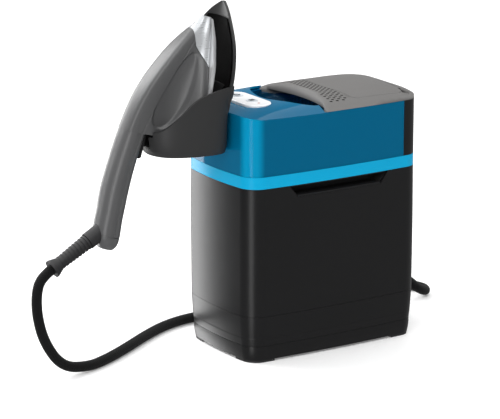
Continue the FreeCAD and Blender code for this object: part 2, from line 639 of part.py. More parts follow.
def back_section(z, half, back_y, deep, thick):
    """One crescent of the upright back: its edges stand forward by deep."""
    edge_y = back_y - deep
    inner = half - 0.2
    return Part.Wire([
        Part.Arc(Vector(half, edge_y, z), Vector(0, back_y, z), Vector(-half, edge_y, z)).toShape(),
        Part.makeLine(Vector(-half, edge_y, z), Vector(-inner, edge_y - thick, z)),
        Part.Arc(Vector(-inner, edge_y - thick, z), Vector(0, back_y - thick, z),
                 Vector(inner, edge_y - thick, z)).toShape(),
        Part.makeLine(Vector(inner, edge_y - thick, z), Vector(half, edge_y, z))])


def back_levels():
    """(height, half width, how far the middle stands off the base's front, depth) of the upright back."""
    low = size("dock_low")
    return [(low + 30, 25, -1.0, 1.5), (low + 44, 33, -1.0, 2.5), (low + 58, 42, -0.8, 3.0),
            (low + 72, 45.5, 0.9, 4.5), (low + 87, 49, 3.8, 6.5), (low + 101, 50, 6.8, 8.5),
            (low + 118, 45, 9.8, 8.0), (low + 133, 35, 12.3, 6.5), (low + 146, 23.5, 14.0, 4.5),
            (low + 156, 11.5, 15.2, 2.0), (low + 161.5, 2.5, 15.8, 0.4)]


def dock_parts():
    wall = size("dock_wall")
    outer = Part.makeLoft([pocket_section(z, r, h, f, 0) for z, r, h, f in pocket_levels()], True, False)
    outer = outer.common(box(-100, 100, -400, 0, size("dock_low") + size("dock_trim"), 400))
    inner_levels = [level for level in pocket_levels()]
    inner = Part.makeLoft([pocket_section(z, r, h, f, wall) for z, r, h, f in inner_levels], True, False)
    inner = inner.common(box(-100, 100, -400, 0, size("dock_floor"), 400))
    pocket = outer.cut(inner)
    front = FRONT_Y
    rim = [(0, 308), (-20, 305), (-36, 301), (-47, 296), (-60, 283), (-70, 272.5), (-79, 264), (-92, 259)]
    lift = size("dock_low") - 229.0
    line = [Vector(-100, front + y, z + lift) for y, z in rim]
    curve = Part.BSplineCurve()
    curve.interpolate(line)
    above = [line[-1], Vector(-100, front - 92, 420 + lift), Vector(-100, front, 420 + lift), line[0]]
    edges = [curve.toShape()] + [Part.makeLine(a, b) for a, b in zip(above, above[1:])]
    trim = Part.Face(Part.Wire(edges)).extrude(Vector(200, 0, 0))
    pocket = pocket.cut(trim)
    notch_low = size("dock_low") + 15
    notch = rounded_box(-size("notch_half"), size("notch_half"), front - 200, front - 60, notch_low, 320, 3)
    shoulder = size("notch_half") + size("notch_flare")
    notch = notch.fuse(rounded_box(-shoulder, shoulder, front - 200, front - 60, notch_low + 11.5, 320, 3))
    pocket = pocket.cut(notch)
    behind = box(-100, 100, DOCK_BACK - 1.0, 0, size("dock_low") + 71.0, 400)
    pocket = pocket.cut(behind)
    back = Part.makeLoft([back_section(z, h, DOCK_BACK + s, d, wall) for z, h, s, d in back_levels()],
                         True, False)
    dock = keep_largest(pocket.fuse(back).removeSplitter())
    dock = dock.cut(screw_line(2.0, 30))
    seat_y = DOCK_BACK - size("dock_rear_wall") + 0.5
    heads = Part.makeCompound([Part.makeCylinder(3.6, 12, Vector(x, seat_y - 12, 248), Vector(0, 1, 0))
                               for x in (-9, 9)])
    dock = dock.cut(heads)
    solid_node("dock", dock)

    # heat-resistant liner on the concave face of the back
    border = 4.5
    levels = [(z, h - border, DOCK_BACK + s - wall - size("seam"), d * ((h - border) / h) ** 2)
              for z, h, s, d in back_levels()[2:-2]]
    liner = Part.makeLoft([back_section(z, h, y, d, size("liner_thick")) for z, h, y, d in levels], True, False)
    solid_node("dock_liner", keep_largest(liner.cut(dock).cut(dock.translated(Vector(0, -size("seam"), 0)))))

    screws = []
    for x in (-9, 9):
        shank = cylinder(f"dock_shank_{x}", "1.55", "16", f"{x}", f"{seat_y}", "248",
                         (Vector(1, 0, 0), -90))
        head = cylinder(f"dock_head_{x}", "3.2", "2", f"{x}", f"{seat_y - 2.0}", "248",
                        (Vector(1, 0, 0), -90))
        screws.append(boolean("MultiFuse", f"dock_screw_{x}", shank, head))
    node("dock_screws", boolean("Compound", "dock_screws_all", *screws))


# ---------------------------------------------------------------- inside the housing

def cup_profile(radius, low, high, wall, flange, flange_low, flange_high, closed_low):
    """Half section of a flanged cup whose closed end is at the bottom or at the top."""
    inner = radius - wall
    if closed_low:
        return [(0, low), (radius, low), (radius, flange_low), (radius + flange, flange_low),
                (radius + flange, flange_high), (inner, flange_high), (inner, low + wall), (0, low + wall)]
    return [(0, high), (radius, high), (radius, flange_high), (radius + flange, flange_high),
            (radius + flange, flange_low), (inner, flange_low), (inner, high - wall), (0, high - wall)]


def bored(name, thing, cuts):
    """Cut holes in a document object with bound cylinders."""
    holes = boolean("Compound", name + "_holes", *cuts)
    return boolean("Cut", name + "_bored", thing, holes)


def boiler_parts():
    radius, wall, flange = size("boiler_radius"), size("boiler_wall"), size("flange_wide")
    low, split, top = size("boiler_low"), size("boiler_split"), size("boiler_top")
    thick, gasket = size("flange_thick"), size("gasket_thick")
    y = "Sizes.boiler_y"
    angles = [30 + 60 * i for i in range(6)]
    ring = radius + flange / 2

    def bolt_holes(name, z0, high, hole):
        return [cylinder(f"{name}_{a}", hole, f"{high}", f"{ring * math.cos(math.radians(a))}",
                         f"{size('boiler_y') + ring * math.sin(math.radians(a))}", f"{z0}") for a in angles]

    lower = turned_body("boiler_lower_body", cup_profile(radius, low, split, wall, flange, split - thick,
                                                         split, True), "0", y)
    outlet = [cylinder("drain_outlet", "3.0", "20", "0", y, f"{low - 8}")]
    node("boiler_lower", bored("boiler_lower", lower,
                               bolt_holes("low_hole", split - 8, 12, "Sizes.bolt_radius") + outlet))
    upper = turned_body("boiler_upper_body", cup_profile(radius, split + gasket, top, wall, flange,
                                                         split + gasket, split + gasket + thick, False), "0", y)
    ports = [cylinder("valve_port", "3.0", "20", "-22", y, f"{top - 10}"),
             cylinder("steam_port", "3.0", "20", "20", y, f"{top - 10}")]
    node("boiler_upper", bored("boiler_upper", upper,
                               bolt_holes("up_hole", split - 1, 12, "Sizes.bolt_radius") + ports))
    seal = disc_body("boiler_gasket_body", "Sizes.boiler_radius + Sizes.flange_wide", "Sizes.gasket_thick", "0", y,
                     "Sizes.boiler_split", "Sizes.boiler_radius - Sizes.boiler_wall")
    node("boiler_gasket", bored("boiler_gasket", seal, bolt_holes("gasket_hole", split - 1, 4, "Sizes.bolt_radius")))
    bolts = []
    for shank, cap, nut in zip(bolt_holes("shank", split - thick - 4, 2 * thick + gasket + 4, "Sizes.bolt_radius - 0.06"),
                               bolt_holes("cap", split + gasket + thick, 3, "3.4"),
                               bolt_holes("nut", split - thick - 3, 3, "3.4")):
        bolts.append(boolean("MultiFuse", shank.Name + "_bolt", shank, cap, nut))
    node("boiler_bolts", boolean("Compound", "boiler_bolts_all", *bolts))

    # the cradle carries the flange on four legs from the tray's floor
    floor_z = size("foot_high") + WALL
    at = Vector(0, size("boiler_y"), 0)
    cradle_top = split - thick
    ring_solid = Part.makeCylinder(radius + flange, 2.5, at + Vector(0, 0, cradle_top - 8)).cut(
        Part.makeCylinder(radius + 0.5, 4, at + Vector(0, 0, cradle_top - 9)))
    legs = []
    for a in (0, 120, 240):
        leg = box(radius + 0.6, radius + flange - 0.4, -6, 6, floor_z, cradle_top)
        leg.rotate(Vector(), Vector(0, 0, 1), a)
        legs.append(leg.translated(at))
    solid_node("boiler_cradle", ring_solid.fuse(legs).removeSplitter())

    coil = doc.addObject("Part::Torus", "heater_ring")
    bind(coil, Radius1="34", Radius2="4.2", Placement_Base_y=y, Placement_Base_z="Sizes.boiler_low - 4.2 - 0.05")
    leads = [cylinder(f"heater_lead_{s}", "3", "14", f"{s * 8}", f"{size('boiler_y') - 33.0}",
                      "Sizes.boiler_low - 4.2 - 14") for s in (-1, 1)]
    node("boiler_heater", boolean("MultiFuse", "heater_all", coil, *leads))
    node("thermostat", turned_body("thermostat_body", [
        (0, top), (11, top), (11, top + 3), (8, top + 3), (8, top + 9), (0, top + 9)], "0", f"{size('boiler_y') + 24}"))
    fuse = cylinder("fuse_shape", "3", "18", "-9", f"{size('boiler_y') + 18}", f"{low - 3.05}", (Vector(0, 1, 0), 90))
    node("thermal_fuse", fuse)
    node("safety_valve", turned_body("safety_valve_body", [
        (0, top - 4), (2.9, top - 4), (2.9, top + 0.05), (8, top + 0.05), (8, top + 8), (6, top + 8), (6, top + 20),
        (3, top + 20), (3, top + 24), (0, top + 24)], "-22", y))
    base = turned_body("steam_valve_base", [
        (0, top - 4), (2.9, top - 4), (2.9, top + 0.05), (10, top + 0.05), (10, top + 14), (0, top + 14)], "20", y)
    coil_box = block("steam_valve_coil", "22", "26", "22", "20", y, f"{top + 14}")
    side = cylinder("steam_valve_port", "3.5", "16", "20", y, f"{top + 7}", (Vector(1, 0, 0), -90))
    node("steam_valve", boolean("MultiFuse", "steam_valve_all", base, coil_box, side))
    node("drain_plug", turned_body("drain_plug_body", [
        (0, size("foot_high") + 0.6), (7, size("foot_high") + 0.6), (7, floor_z + 5), (4, floor_z + 5), (4, low - 12),
        (2.9, low - 12), (2.9, low + 2), (1.5, low + 2), (1.5, floor_z + 2), (0, floor_z + 2)], "0", y))
    return floor_z


def pump_parts(floor_z):
    px, py = size("pump_x"), size("pump_y")
    high = size("pump_high")
    node("pump", turned_body("pump_body", [
        (0, floor_z), (size("pump_radius"), floor_z), (size("pump_radius"), floor_z + high),
        (9, floor_z + high), (9, floor_z + high + 8), (3.6, floor_z + high + 8), (3.6, floor_z + high + 16),
        (0, floor_z + high + 16)], "Sizes.pump_x", "Sizes.pump_y"))
    board = block("board_plate", "70", "1.6", "80", "0", "-Sizes.base_long / 2 + 14", f"{floor_z}")
    relay = block("board_relay", "20", "12", "16", "-15", "-Sizes.base_long / 2 + 14 + 6.5", f"{floor_z + 20}")
    choke = block("board_choke", "14", "10", "14", "16", "-Sizes.base_long / 2 + 14 + 5.5", f"{floor_z + 44}")
    node("power_board", boolean("MultiFuse", "power_board_all", board, relay, choke))

    # rigid water line: tank socket, pump, boiler
    pipe = 3.0
    z_socket = size("housing_top") + size("ledge_high") - 8
    feed = round_pipe([Vector(size("valve_x"), size("valve_y"), z_socket), Vector(size("valve_x"), py + 6, 140),
                       Vector(px, py, 118), Vector(px, py, floor_z + high + 16.0)], pipe)
    y_boiler = size("boiler_y")
    steam = round_pipe([Vector(20, y_boiler + 16.2, size("boiler_top") + 7),
                        Vector(20, y_boiler + 52, size("boiler_top") + 7),
                        Vector(size("gland_x") + 34, REAR_Y - 26, size("boiler_top") - 10),
                        Vector(size("gland_x"), REAR_Y - 24, size("gland_z") + 40),
                        Vector(size("gland_x"), REAR_Y - 24, size("gland_z") + 0.2)], pipe)
    solid_node("water_pipe", feed)
    solid_node("steam_pipe", steam)


def round_pipe(points, radius, stretch=0.45):
    """A tube of straight runs joined by tangent arcs; each arc is as large as its two runs allow."""
    edges, start = [], points[0]
    for before, at, after in zip(points, points[1:], points[2:]):
        run_in, run_out = at - before, after - at
        back, ahead = (before - at).normalize(), (after - at).normalize()
        turn = math.pi - back.getAngle(ahead)
        cut = stretch * min(run_in.Length, run_out.Length)
        arc_radius = cut / math.tan(turn / 2)
        enter, leave = at + back * cut, at + ahead * cut
        bisector = (back + ahead).normalize()
        middle = at + bisector * (arc_radius / math.cos(turn / 2) - arc_radius)
        if (enter - start).Length > 1e-6:
            edges.append(Part.makeLine(start, enter))
        edges.append(Part.Arc(enter, middle, leave).toShape())
        start = leave
    edges.append(Part.makeLine(start, points[-1]))
    path = Part.Wire(edges)
    first = (points[1] - points[0]).normalize()
    profile = Part.Wire(Part.makeCircle(radius, points[0], first))
    tube = path.makePipeShell([profile], True, False)
    expected = math.pi * radius ** 2 * path.Length
    if abs(tube.Volume - expected) > 0.01 * expected:
        raise ValueError(f"tube volume {tube.Volume:.0f} is not {expected:.0f}")
    return tube


def gland_parts(base_z):
    node("tank_socket", turned_body("tank_socket_body", socket_profile(base_z), "Sizes.valve_x", "Sizes.valve_y"))
    node("socket_seal", disc_body("socket_seal_body", "Sizes.valve_radius + 0.9", "1.6", "Sizes.valve_x",
                                  "Sizes.valve_y", f"{base_z - 2.2}", "Sizes.valve_radius - 0.6 + 0.05"))
    radius = size("valve_radius")
    node("tank_valve", turned_body("tank_valve_body", [
        (0, base_z - 3.5), (radius - 0.6, base_z - 3.5), (radius - 0.6, base_z + 0.3), (radius, base_z + 0.3),
        (radius, base_z + 0.3 + size("tank_wall")), (radius + 2, base_z + 0.3 + size("tank_wall")),
        (radius + 2, base_z + 6), (3, base_z + 9), (0, base_z + 9)], "Sizes.valve_x", "Sizes.valve_y"))
    gland_x, gland_z = size("gland_x"), size("gland_z")
    hole = 8.2
    sleeve = Part.makeCylinder(hole - 0.05, 20, Vector(gland_x, REAR_Y - 17, gland_z), Vector(0, 1, 0))
    collar = Part.makeCylinder(10, 4, Vector(gland_x, REAR_Y + 0.3, gland_z), Vector(0, 1, 0))
    nut = Part.makeCylinder(10, 4, Vector(gland_x, REAR_Y - 9, gland_z), Vector(0, 1, 0))
    cone = Part.makeCone(hole - 0.6, size("hose_radius") + 0.9, 22, Vector(gland_x, REAR_Y + 3, gland_z), Vector(0, 1, 0))
    gland = sleeve.fuse([collar, nut, cone])
    gland = gland.cut(Part.makeCylinder(3.0, 10, Vector(gland_x, REAR_Y - 24, gland_z), Vector(0, 1, 0)))
    elbow = Part.makeCylinder(5, 8, Vector(gland_x, REAR_Y - 24, gland_z - 4))
    gland = gland.fuse(elbow.fuse(Part.makeCylinder(5, 8, Vector(gland_x, REAR_Y - 24, gland_z), Vector(0, 1, 0))))
    solid_node("hose_gland", gland.cut(Part.makeCylinder(3.05, 10, Vector(gland_x, REAR_Y - 24, gland_z + 0.1))
                                       ).removeSplitter())
    inlet_hole = 5.4
    bush = Part.makeCylinder(inlet_hole - 0.05, 12, Vector(-gland_x, REAR_Y - 10, gland_z), Vector(0, 1, 0))
    bush = bush.fuse([Part.makeCylinder(8, 3, Vector(-gland_x, REAR_Y + 0.3, gland_z), Vector(0, 1, 0)),
                      Part.makeCylinder(8, 3, Vector(-gland_x, REAR_Y - 8, gland_z), Vector(0, 1, 0))])
    bush = bush.cut(Part.makeCylinder(3.6, 40, Vector(-gland_x, REAR_Y - 20, gland_z), Vector(0, 1, 0)))
    solid_node("mains_inlet", bush.removeSplitter())
    screws = []
    for x in (-1, 1):
        for y in (-1, 1):
            shank = cylinder(f"case_shank_{x}_{y}", "1.65", "12", f"{x} * (Sizes.base_wide / 2 - 22)",
                             f"{y} * (Sizes.base_long / 2 - 24)", "Sizes.foot_high + 0.5")
            cap = cylinder(f"case_cap_{x}_{y}", "3", "0.9", f"{x} * (Sizes.base_wide / 2 - 22)",
                           f"{y} * (Sizes.base_long / 2 - 24)", "Sizes.foot_high + 0.1")
            screws.append(boolean("MultiFuse", f"case_screw_{x}_{y}", shank, cap))
    node("case_screws", boolean("Compound", "case_screws_all", *screws))


def socket_profile(base_z):
    """Half section of the spring socket that opens the tank's valve."""
    radius, plate = size("valve_radius") + 3.3, size("chassis_thick")
    plate_z = base_z - plate
    return [(0, plate_z - 8), (radius + 2, plate_z - 8), (radius + 2, plate_z), (radius - 0.05, plate_z),
            (radius - 0.05, base_z), (size("valve_radius") + 1.0, base_z), (size("valve_radius") + 1.0, plate_z - 4),
            (2.0, plate_z - 4), (2.0, plate_z - 2.5), (0, plate_z - 2.5)]


# ---------------------------------------------------------------- steam head

HEAD_TIP = Vector(0, FRONT_Y + size("head_ahead"), size("head_tip_high"))
HEAD_POSE = Placement(HEAD_TIP, Rotation(Vector(1, 0, 0), 90 - size("head_lean")))


def sole_plan(inset, z0, z1, full=False):
    """The pointed, round-heeled plan of the sole; its full arch stands out round the head's body."""
    long, half = size("sole_long"), size("sole_half")
    side = [Vector(half * 0.96, -long * 0.64, 0), Vector(half, -long * 0.85, 0),
            Vector(half * 0.62, -long, 0)]
    if full:
        side = [Vector(half * 0.45, -long * 0.17, 0), Vector(half * 0.77, -long * 0.36, 0)] + side
    points = [Vector(0, 0, 0)] + side + [Vector(-p.x, p.y, 0) for p in reversed(side)]
    solid = Part.Face(Part.makePolygon(points + points[:1])).extrude(Vector(0, 0, 10))

    def upright(test):
        return [e for e in solid.Edges if len(e.Vertexes) == 2 and abs(e.Vertexes[0].Z - e.Vertexes[1].Z) > 9
                and abs(e.Vertexes[0].X - e.Vertexes[1].X) < 1e-6 and test(e.Vertexes[0])]

    solid = solid.makeFillet(5.0, upright(lambda v: v.Y > -1))
    solid = solid.makeFillet(44.0, upright(lambda v: -long * 0.7 < v.Y < -long * 0.1))
    solid = solid.makeFillet(17.0, upright(lambda v: v.Y < -long * 0.8 and abs(v.X) > half * 0.9))
    solid = solid.makeFillet(12.0, upright(lambda v: v.Y < -long + 1))
    face = min(solid.Faces, key=lambda f: f.CenterOfMass.z)
    wire = Part.Wire(Part.__sortEdges__(face.OuterWire.Edges))
    if inset:
        wire = Part.Face(wire).makeOffset2D(-inset).OuterWire
    return Part.Face(wire).extrude(Vector(0, 0, z1 - z0)).translated(Vector(0, 0, z0))


def head_section(along, half, waist, waist_z, band, band_z, top, shrink):
    """One cross-section of the head: wide at the sole, waisted, with a rounded band on top."""
    half, waist, band, top = half - shrink, waist - shrink, band - shrink, top - shrink
    low = size("sole_thick") + 0.3
    points = [Vector(half, -along, low), Vector(half * 0.985, -along, low + 7),
              Vector(waist + (half - waist) * 0.35, -along, low + 7 + (waist_z - low - 7) * 0.5),
              Vector(waist, -along, waist_z), Vector(band, -along, band_z), Vector(band * 0.86, -along, top - 3.2),
              Vector(0, -along, top)]
    points += [Vector(-p.x, p.y, p.z) for p in reversed(points[:-1])]
    curve = Part.BSplineCurve()
    curve.interpolate(points)
    return Part.Wire([curve.toShape(), Part.makeLine(points[-1], points[0])])


def head_levels():
    """(distance from the tip, half width at the sole, waist, its height, band half width, its height, top)."""
    return [(2.5, 3.6, 3.3, 12.5, 2.9, 13.2, 15.0), (15, 9.6, 8.0, 14.0, 7.2, 17.5, 23.0),
            (37, 17.6, 13.8, 19.0, 12.6, 29.0, 39.0), (59, 25.6, 15.6, 25.0, 14.4, 39.0, 51.8),
            (84, 35.0, 16.4, 31.0, 15.0, 49.0, 63.8), (110, 39.2, 16.6, 35.0, 15.0, 57.0, 72.0),
            (138, 34.0, 16.4, 38.0, 14.8, 62.0, 77.0)]


def handle_section(along, middle, high, half, shrink):
    """One rounded cross-section of the handle."""
    high, half = high - shrink, half - shrink
    ring = [(1, 0), (0.93, 0.62), (0.52, 0.96), (0, 1), (-0.52, 0.96), (-0.93, 0.62),
            (-1, 0), (-0.86, -0.66), (-0.45, -0.95), (0, -1), (0.45, -0.95), (0.86, -0.66)]
    curve = Part.BSplineCurve()
    curve.interpolate([Vector(half * x, -along, middle + high * z) for x, z in ring], PeriodicFlag=True)
    return Part.Wire(curve.toShape())


def handle_levels():
    """(distance from the tip, height of the middle, half height, half width) of the handle."""
    end = size("handle_end")
    return [(118, 61.0, 11.6, 14.0), (140, 64.5, 12.4, 14.6), (166, 66.6, 12.8, 14.8), (192, 67.6, 13.2, 15.0),
            (218, 66.8, 13.4, 15.0), (240, 65.2, 13.4, 14.6), (end - 7, 63.2, 13.0, 13.6), (end, 61.8, 11.0, 11.2),
            (end + 5.5, 61.0, 6.6, 6.8)]


def head_volume(shrink):
    body = Part.makeLoft([head_section(*level, shrink) for level in head_levels()], True, False)
    levels = handle_levels()
    if shrink:
        levels = levels[:-1]
    handle = Part.makeLoft([handle_section(*level, shrink) for level in levels], True, False)
    return body, handle


def relief_axis():
    """Root and direction of the strain relief, in the head's frame."""
    return Vector(0, -(size("handle_end") - 14), 70.0), Vector(0, -0.722, 0.692)


def head_parts():
    wall = size("head_wall")
    body, handle = head_volume(0)
    body_in, handle_in = head_volume(wall)
    solid = body.fuse(handle)
    hollow = body_in.common(box(-60, 60, -136 + 0.0, -4, -5, 100)).fuse(handle_in)
    hollow = hollow.cut(box(-60, 60, -size("sole_long") - 2, 5, -10, size("sole_thick") + 0.2))
    skin = solid.cut(hollow)
    trigger_slot = box(-size("trigger_half") - 0.6, size("trigger_half") + 0.6, -168, -126, 40, 58)
    skin = skin.cut(trigger_slot)
    root, direction = relief_axis()
    skin = skin.cut(Part.makeCylinder(9.3, 40, root + direction * -0.2, direction))

    # the bright nose, cut along two slanted lines down to the sole
    lines = [Vector(-60, 3, -2), Vector(-60, -54, -2), Vector(-60, -53, 6), Vector(-60, -35, 20), Vector(-60, -14.5, 26),
             Vector(-60, -12, 60), Vector(-60, 3, 60)]
    nose_space = Part.Face(Part.makePolygon(lines + lines[:1])).extrude(Vector(120, 0, 0))
    nose = keep_largest(skin.common(nose_space))
    rest = skin.cut(nose_space)
    solid_node("nose_cover", nose, HEAD_POSE)

    # parting line between the top band and the body, carried on along the handle
    mid = [Vector(-60, 5, 13.5), Vector(-60, -15, 17.0), Vector(-60, -37, 26.5), Vector(-60, -59, 35.5),
           Vector(-60, -84, 45.0), Vector(-60, -110, 53.0), Vector(-60, -138, 60.0), Vector(-60, -180, 64.0),
           Vector(-60, -size("handle_end") - 12, 60.5)]
    curve = Part.BSplineCurve()
    curve.interpolate(mid)
    close = [mid[-1], Vector(-60, mid[-1].y, 130), Vector(-60, 5, 130), mid[0]]
    above = Part.Face(Part.Wire([curve.toShape()] + [Part.makeLine(a, b) for a, b in zip(close, close[1:])]))
    above = above.extrude(Vector(120, 0, 0))
    cap_cut = box(-60, 60, -400, -(size("handle_end") - 9), 20, 130)
    end_cap = rest.common(cap_cut)
    rest = rest.cut(cap_cut)
    solid_node("handle_cover", keep_largest(rest.common(above)), HEAD_POSE)
    solid_node("head_body", keep_largest(rest.cut(above.translated(Vector(0, 0, -0.15)))), HEAD_POSE)
    solid_node("handle_end_cap", keep_largest(end_cap.common(box(-60, 60, -400, -(size("handle_end") - 8.8), 0, 130))),
               HEAD_POSE)

    sole = sole_plan(0, 0, size("sole_thick"), full=True)
    edge = [e for e in sole.Edges if abs(e.CenterOfMass.z) < 1e-6]
    sole = sole.makeFillet(1.2, edge)
    jets = []
    for along, half in ((34, 0), (48, 8), (62, 14), (76, 19), (92, 24), (108, 27), (122, 27)):
        for side in ((-1, 1) if half else (1,)):
            jets.append(Part.makeCylinder(1.4, 10, Vector(side * half, -along, -2)))
    solid_node("soleplate", sole.cut(jets), HEAD_POSE)
    low = size("sole_thick")
    chamber = sole_plan(9.0, low + 0.0, low + 13).common(box(-60, 60, -130, -24, 0, 100))
    cavity = sole_plan(13.0, low - 1, low + 9).common(box(-60, 60, -126, -30, 0, 100))
    port = Part.makeCylinder(3.0, 20, Vector(0, -112, low + 5))
    solid_node("steam_chamber", keep_largest(chamber.cut(cavity).cut(port)), HEAD_POSE)
    element = round_pipe([Vector(-9, -122, low + 15.5), Vector(-9, -70, low + 15.5), Vector(0, -52, low + 15.5),
                          Vector(9, -70, low + 15.5), Vector(9, -122, low + 15.5)], 2.4)
    solid_node("head_heater", element, HEAD_POSE)
    shield = sole_plan(5.6, low + 0.25, low + 2.2).cut(sole_plan(8.7, low - 1, low + 4)).common(
        box(-60, 60, -134, -30, 0, 60))
    solid_node("sole_gasket", keep_largest(shield), HEAD_POSE)

    pipe = round_pipe([Vector(0, -112, low + 12.5), Vector(0, -109, 48), Vector(0, -126, 69), Vector(0, -160, 73),
                       Vector(0, -200, 72), Vector(0, -222, 62), root + direction * -18, root + direction * -6], 2.6)
    solid_node("head_steam_pipe", pipe, HEAD_POSE)
    trigger_parts(handle_in)
    relief_parts(root, direction)


def head_local(thing, offset, turn=None):
    """Stand a bound object in the head's frame."""
    thing.Placement = HEAD_POSE * Placement(offset, turn or Rotation())
    return thing


def trigger_parts(room):
    half = size("trigger_half")
    pin_at = Vector(0, -130.5, 55.5)
    blade = rounded_box(-half, half, -165.5, -134, 49.2, 55.0, 3.0)
    under = [e for e in blade.Edges if abs(e.CenterOfMass.z - 49.2) < 1e-6]
    blade = blade.makeFillet(2.2, under)
    eye = Part.makeCylinder(3.4, 2 * half, pin_at + Vector(-half, 0, 0), Vector(1, 0, 0))
    web = box(-half, half, -138, pin_at.y, 52.5, 57.0)
    trigger = blade.fuse([eye, web])
    trigger = trigger.cut(Part.makeCylinder(size("trigger_pin") + size("run_gap"), 60, pin_at + Vector(-30, 0, 0),
                                            Vector(1, 0, 0))).removeSplitter()
    solid_node("trigger", trigger, HEAD_POSE)
    pin = doc.addObject("Part::Cylinder", "trigger_pin_shape")
    bind(pin, Radius="Sizes.trigger_pin", Height="22")
    node("trigger_pin", head_local(pin, pin_at + Vector(-11, 0, 0), Rotation(Vector(0, 1, 0), 90)))
    bracket = box(-30, 30, -158, -148, 66.0, 67.2).common(room)
    solid_node("trigger_switch", box(-4, 4, -159, -145, 60.5, 66.5).fuse(bracket), HEAD_POSE)


def relief_parts(root, direction):
    """Ribbed, tapering strain relief with a flared end."""
    length, rings = 70.5, 9
    start, end = 9.2, 6.9
    core = Part.makeCone(start - 1.4, end - 0.4, length, root, direction)
    pieces = [core]
    for number in range(rings):
        along = 22.0 + number * (length - 36.0) / (rings - 1)
        radius = start - (start - end) * along / length - 0.1
        pieces.append(Part.makeCylinder(radius, 2.1, root + direction * along, direction))
    sleeve = Part.makeCylinder(start, 21, root, direction)
    flare = Part.makeCone(end + 0.2, 10.2, 8.5, root + direction * (length - 10.5), direction)
    lip = Part.makeCylinder(10.2, 2.0, root + direction * (length - 2.0), direction)
    relief = core.fuse(pieces[1:] + [sleeve, flare, lip])
    relief = relief.cut(Part.makeCylinder(2.65, 30, root + direction * -6, direction)).removeSplitter()
    solid_node("strain_relief", relief, HEAD_POSE)
    global HOSE_START, HOSE_AXIS
    HOSE_START = HEAD_POSE.multVec(root + direction * length)
    HOSE_AXIS = HEAD_POSE.Rotation.multVec(direction)


# ---------------------------------------------------------------- hose

# the hose from the head's strain relief down to the floor, past the base's far side to the coil
FRONT_ROUTE = [(0, -334, 106), (0, -335, 80), (-2, -326, 46), (-5, -303, 13), (-10, -268, 5.8),
               (-24, -236, 5.8), (-46, -200, 5.8), (-72, -162, 5.8), (-94, -124, 5.8), (-105, -84, 5.8),
               (-100, -40, 5.8), (-91, 8, 5.8), (-88, 44, 5.8), (-88, 70, 5.8)]
# from the coil's top turn round the loop behind the base and up into the gland
REAR_ROUTE = [(-88, 70, 29.0), (-88, 98, 27.0), (-89, 130, 15.0), (-88, 162, 5.9), (-84.5, 188, 5.8),
              (-77, 204, 5.8), (-61, 211, 5.8), (-45, 204.5, 6.4), (-38.5, 188, 13.5), (-38, 171, 27.5),
              (-38, 154, 41.5)]


def hose_parts():
    radius = size("hose_radius")
    front = [HOSE_START, HOSE_START + HOSE_AXIS * 12.5] + [Vector(*p) for p in FRONT_ROUTE]
    rear = [Vector(*p) for p in REAR_ROUTE] + [Vector(size("gland_x"), REAR_Y + 25.0, size("gland_z"))]
    for name, route in (("steam_hose_front", front), ("steam_hose_rear", rear)):
        print(name, "radii", [round(r, 1) for r in bend_radii(route)])
        solid_node(name, round_pipe(route, radius))
    coil = doc.addObject("Part::Cylinder", "coil_outside")
    bind(coil, Radius="Sizes.coil_radius + Sizes.hose_radius", Height="Sizes.coil_high - 0.1",
         Placement_Base_x="Sizes.coil_x", Placement_Base_y="Sizes.coil_y", Placement_Base_z="0.1")
    inside = doc.addObject("Part::Cylinder", "coil_inside")
    bind(inside, Radius="Sizes.coil_radius - Sizes.hose_radius", Height="Sizes.coil_high + 2",
         Placement_Base_x="Sizes.coil_x", Placement_Base_y="Sizes.coil_y", Placement_Base_z="-1")
    node("hose_coil", boolean("Cut", "hose_coil_ring", coil, inside))


def bend_radii(points):
    radii = []
    for before, at, after in zip(points, points[1:], points[2:]):
        turn = (at - before).getAngle(after - at)
        radii.append(0.45 * min((at - before).Length, (after - at).Length) / math.tan(turn / 2))
    return radii


control_parts(column_top)
dock_parts()
tray_floor = boiler_parts()
pump_parts(tray_floor)
gland_parts(column_low)
head_parts()
hose_parts()

# ---------------------------------------------------------------- checks and files

doc.recompute()
failed = [thing.Label for thing in doc.Objects if "Invalid" in thing.State or "Error" in thing.State]
failed += [name for name, thing in NODES.items() if thing.Shape.isNull() or not thing.Shape.isValid()
           or not thing.Shape.Solids]
if failed:
    raise SystemExit("these pieces failed: " + ", ".join(failed))
os.makedirs("parts", exist_ok=True)
for name, thing in NODES.items():
    thing.Shape.exportStep(os.path.join("parts", name + ".step"))
print(len(NODES), "pieces written")
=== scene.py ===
import json
import math

import bpy
import bmesh
from mathutils import Matrix, Vector


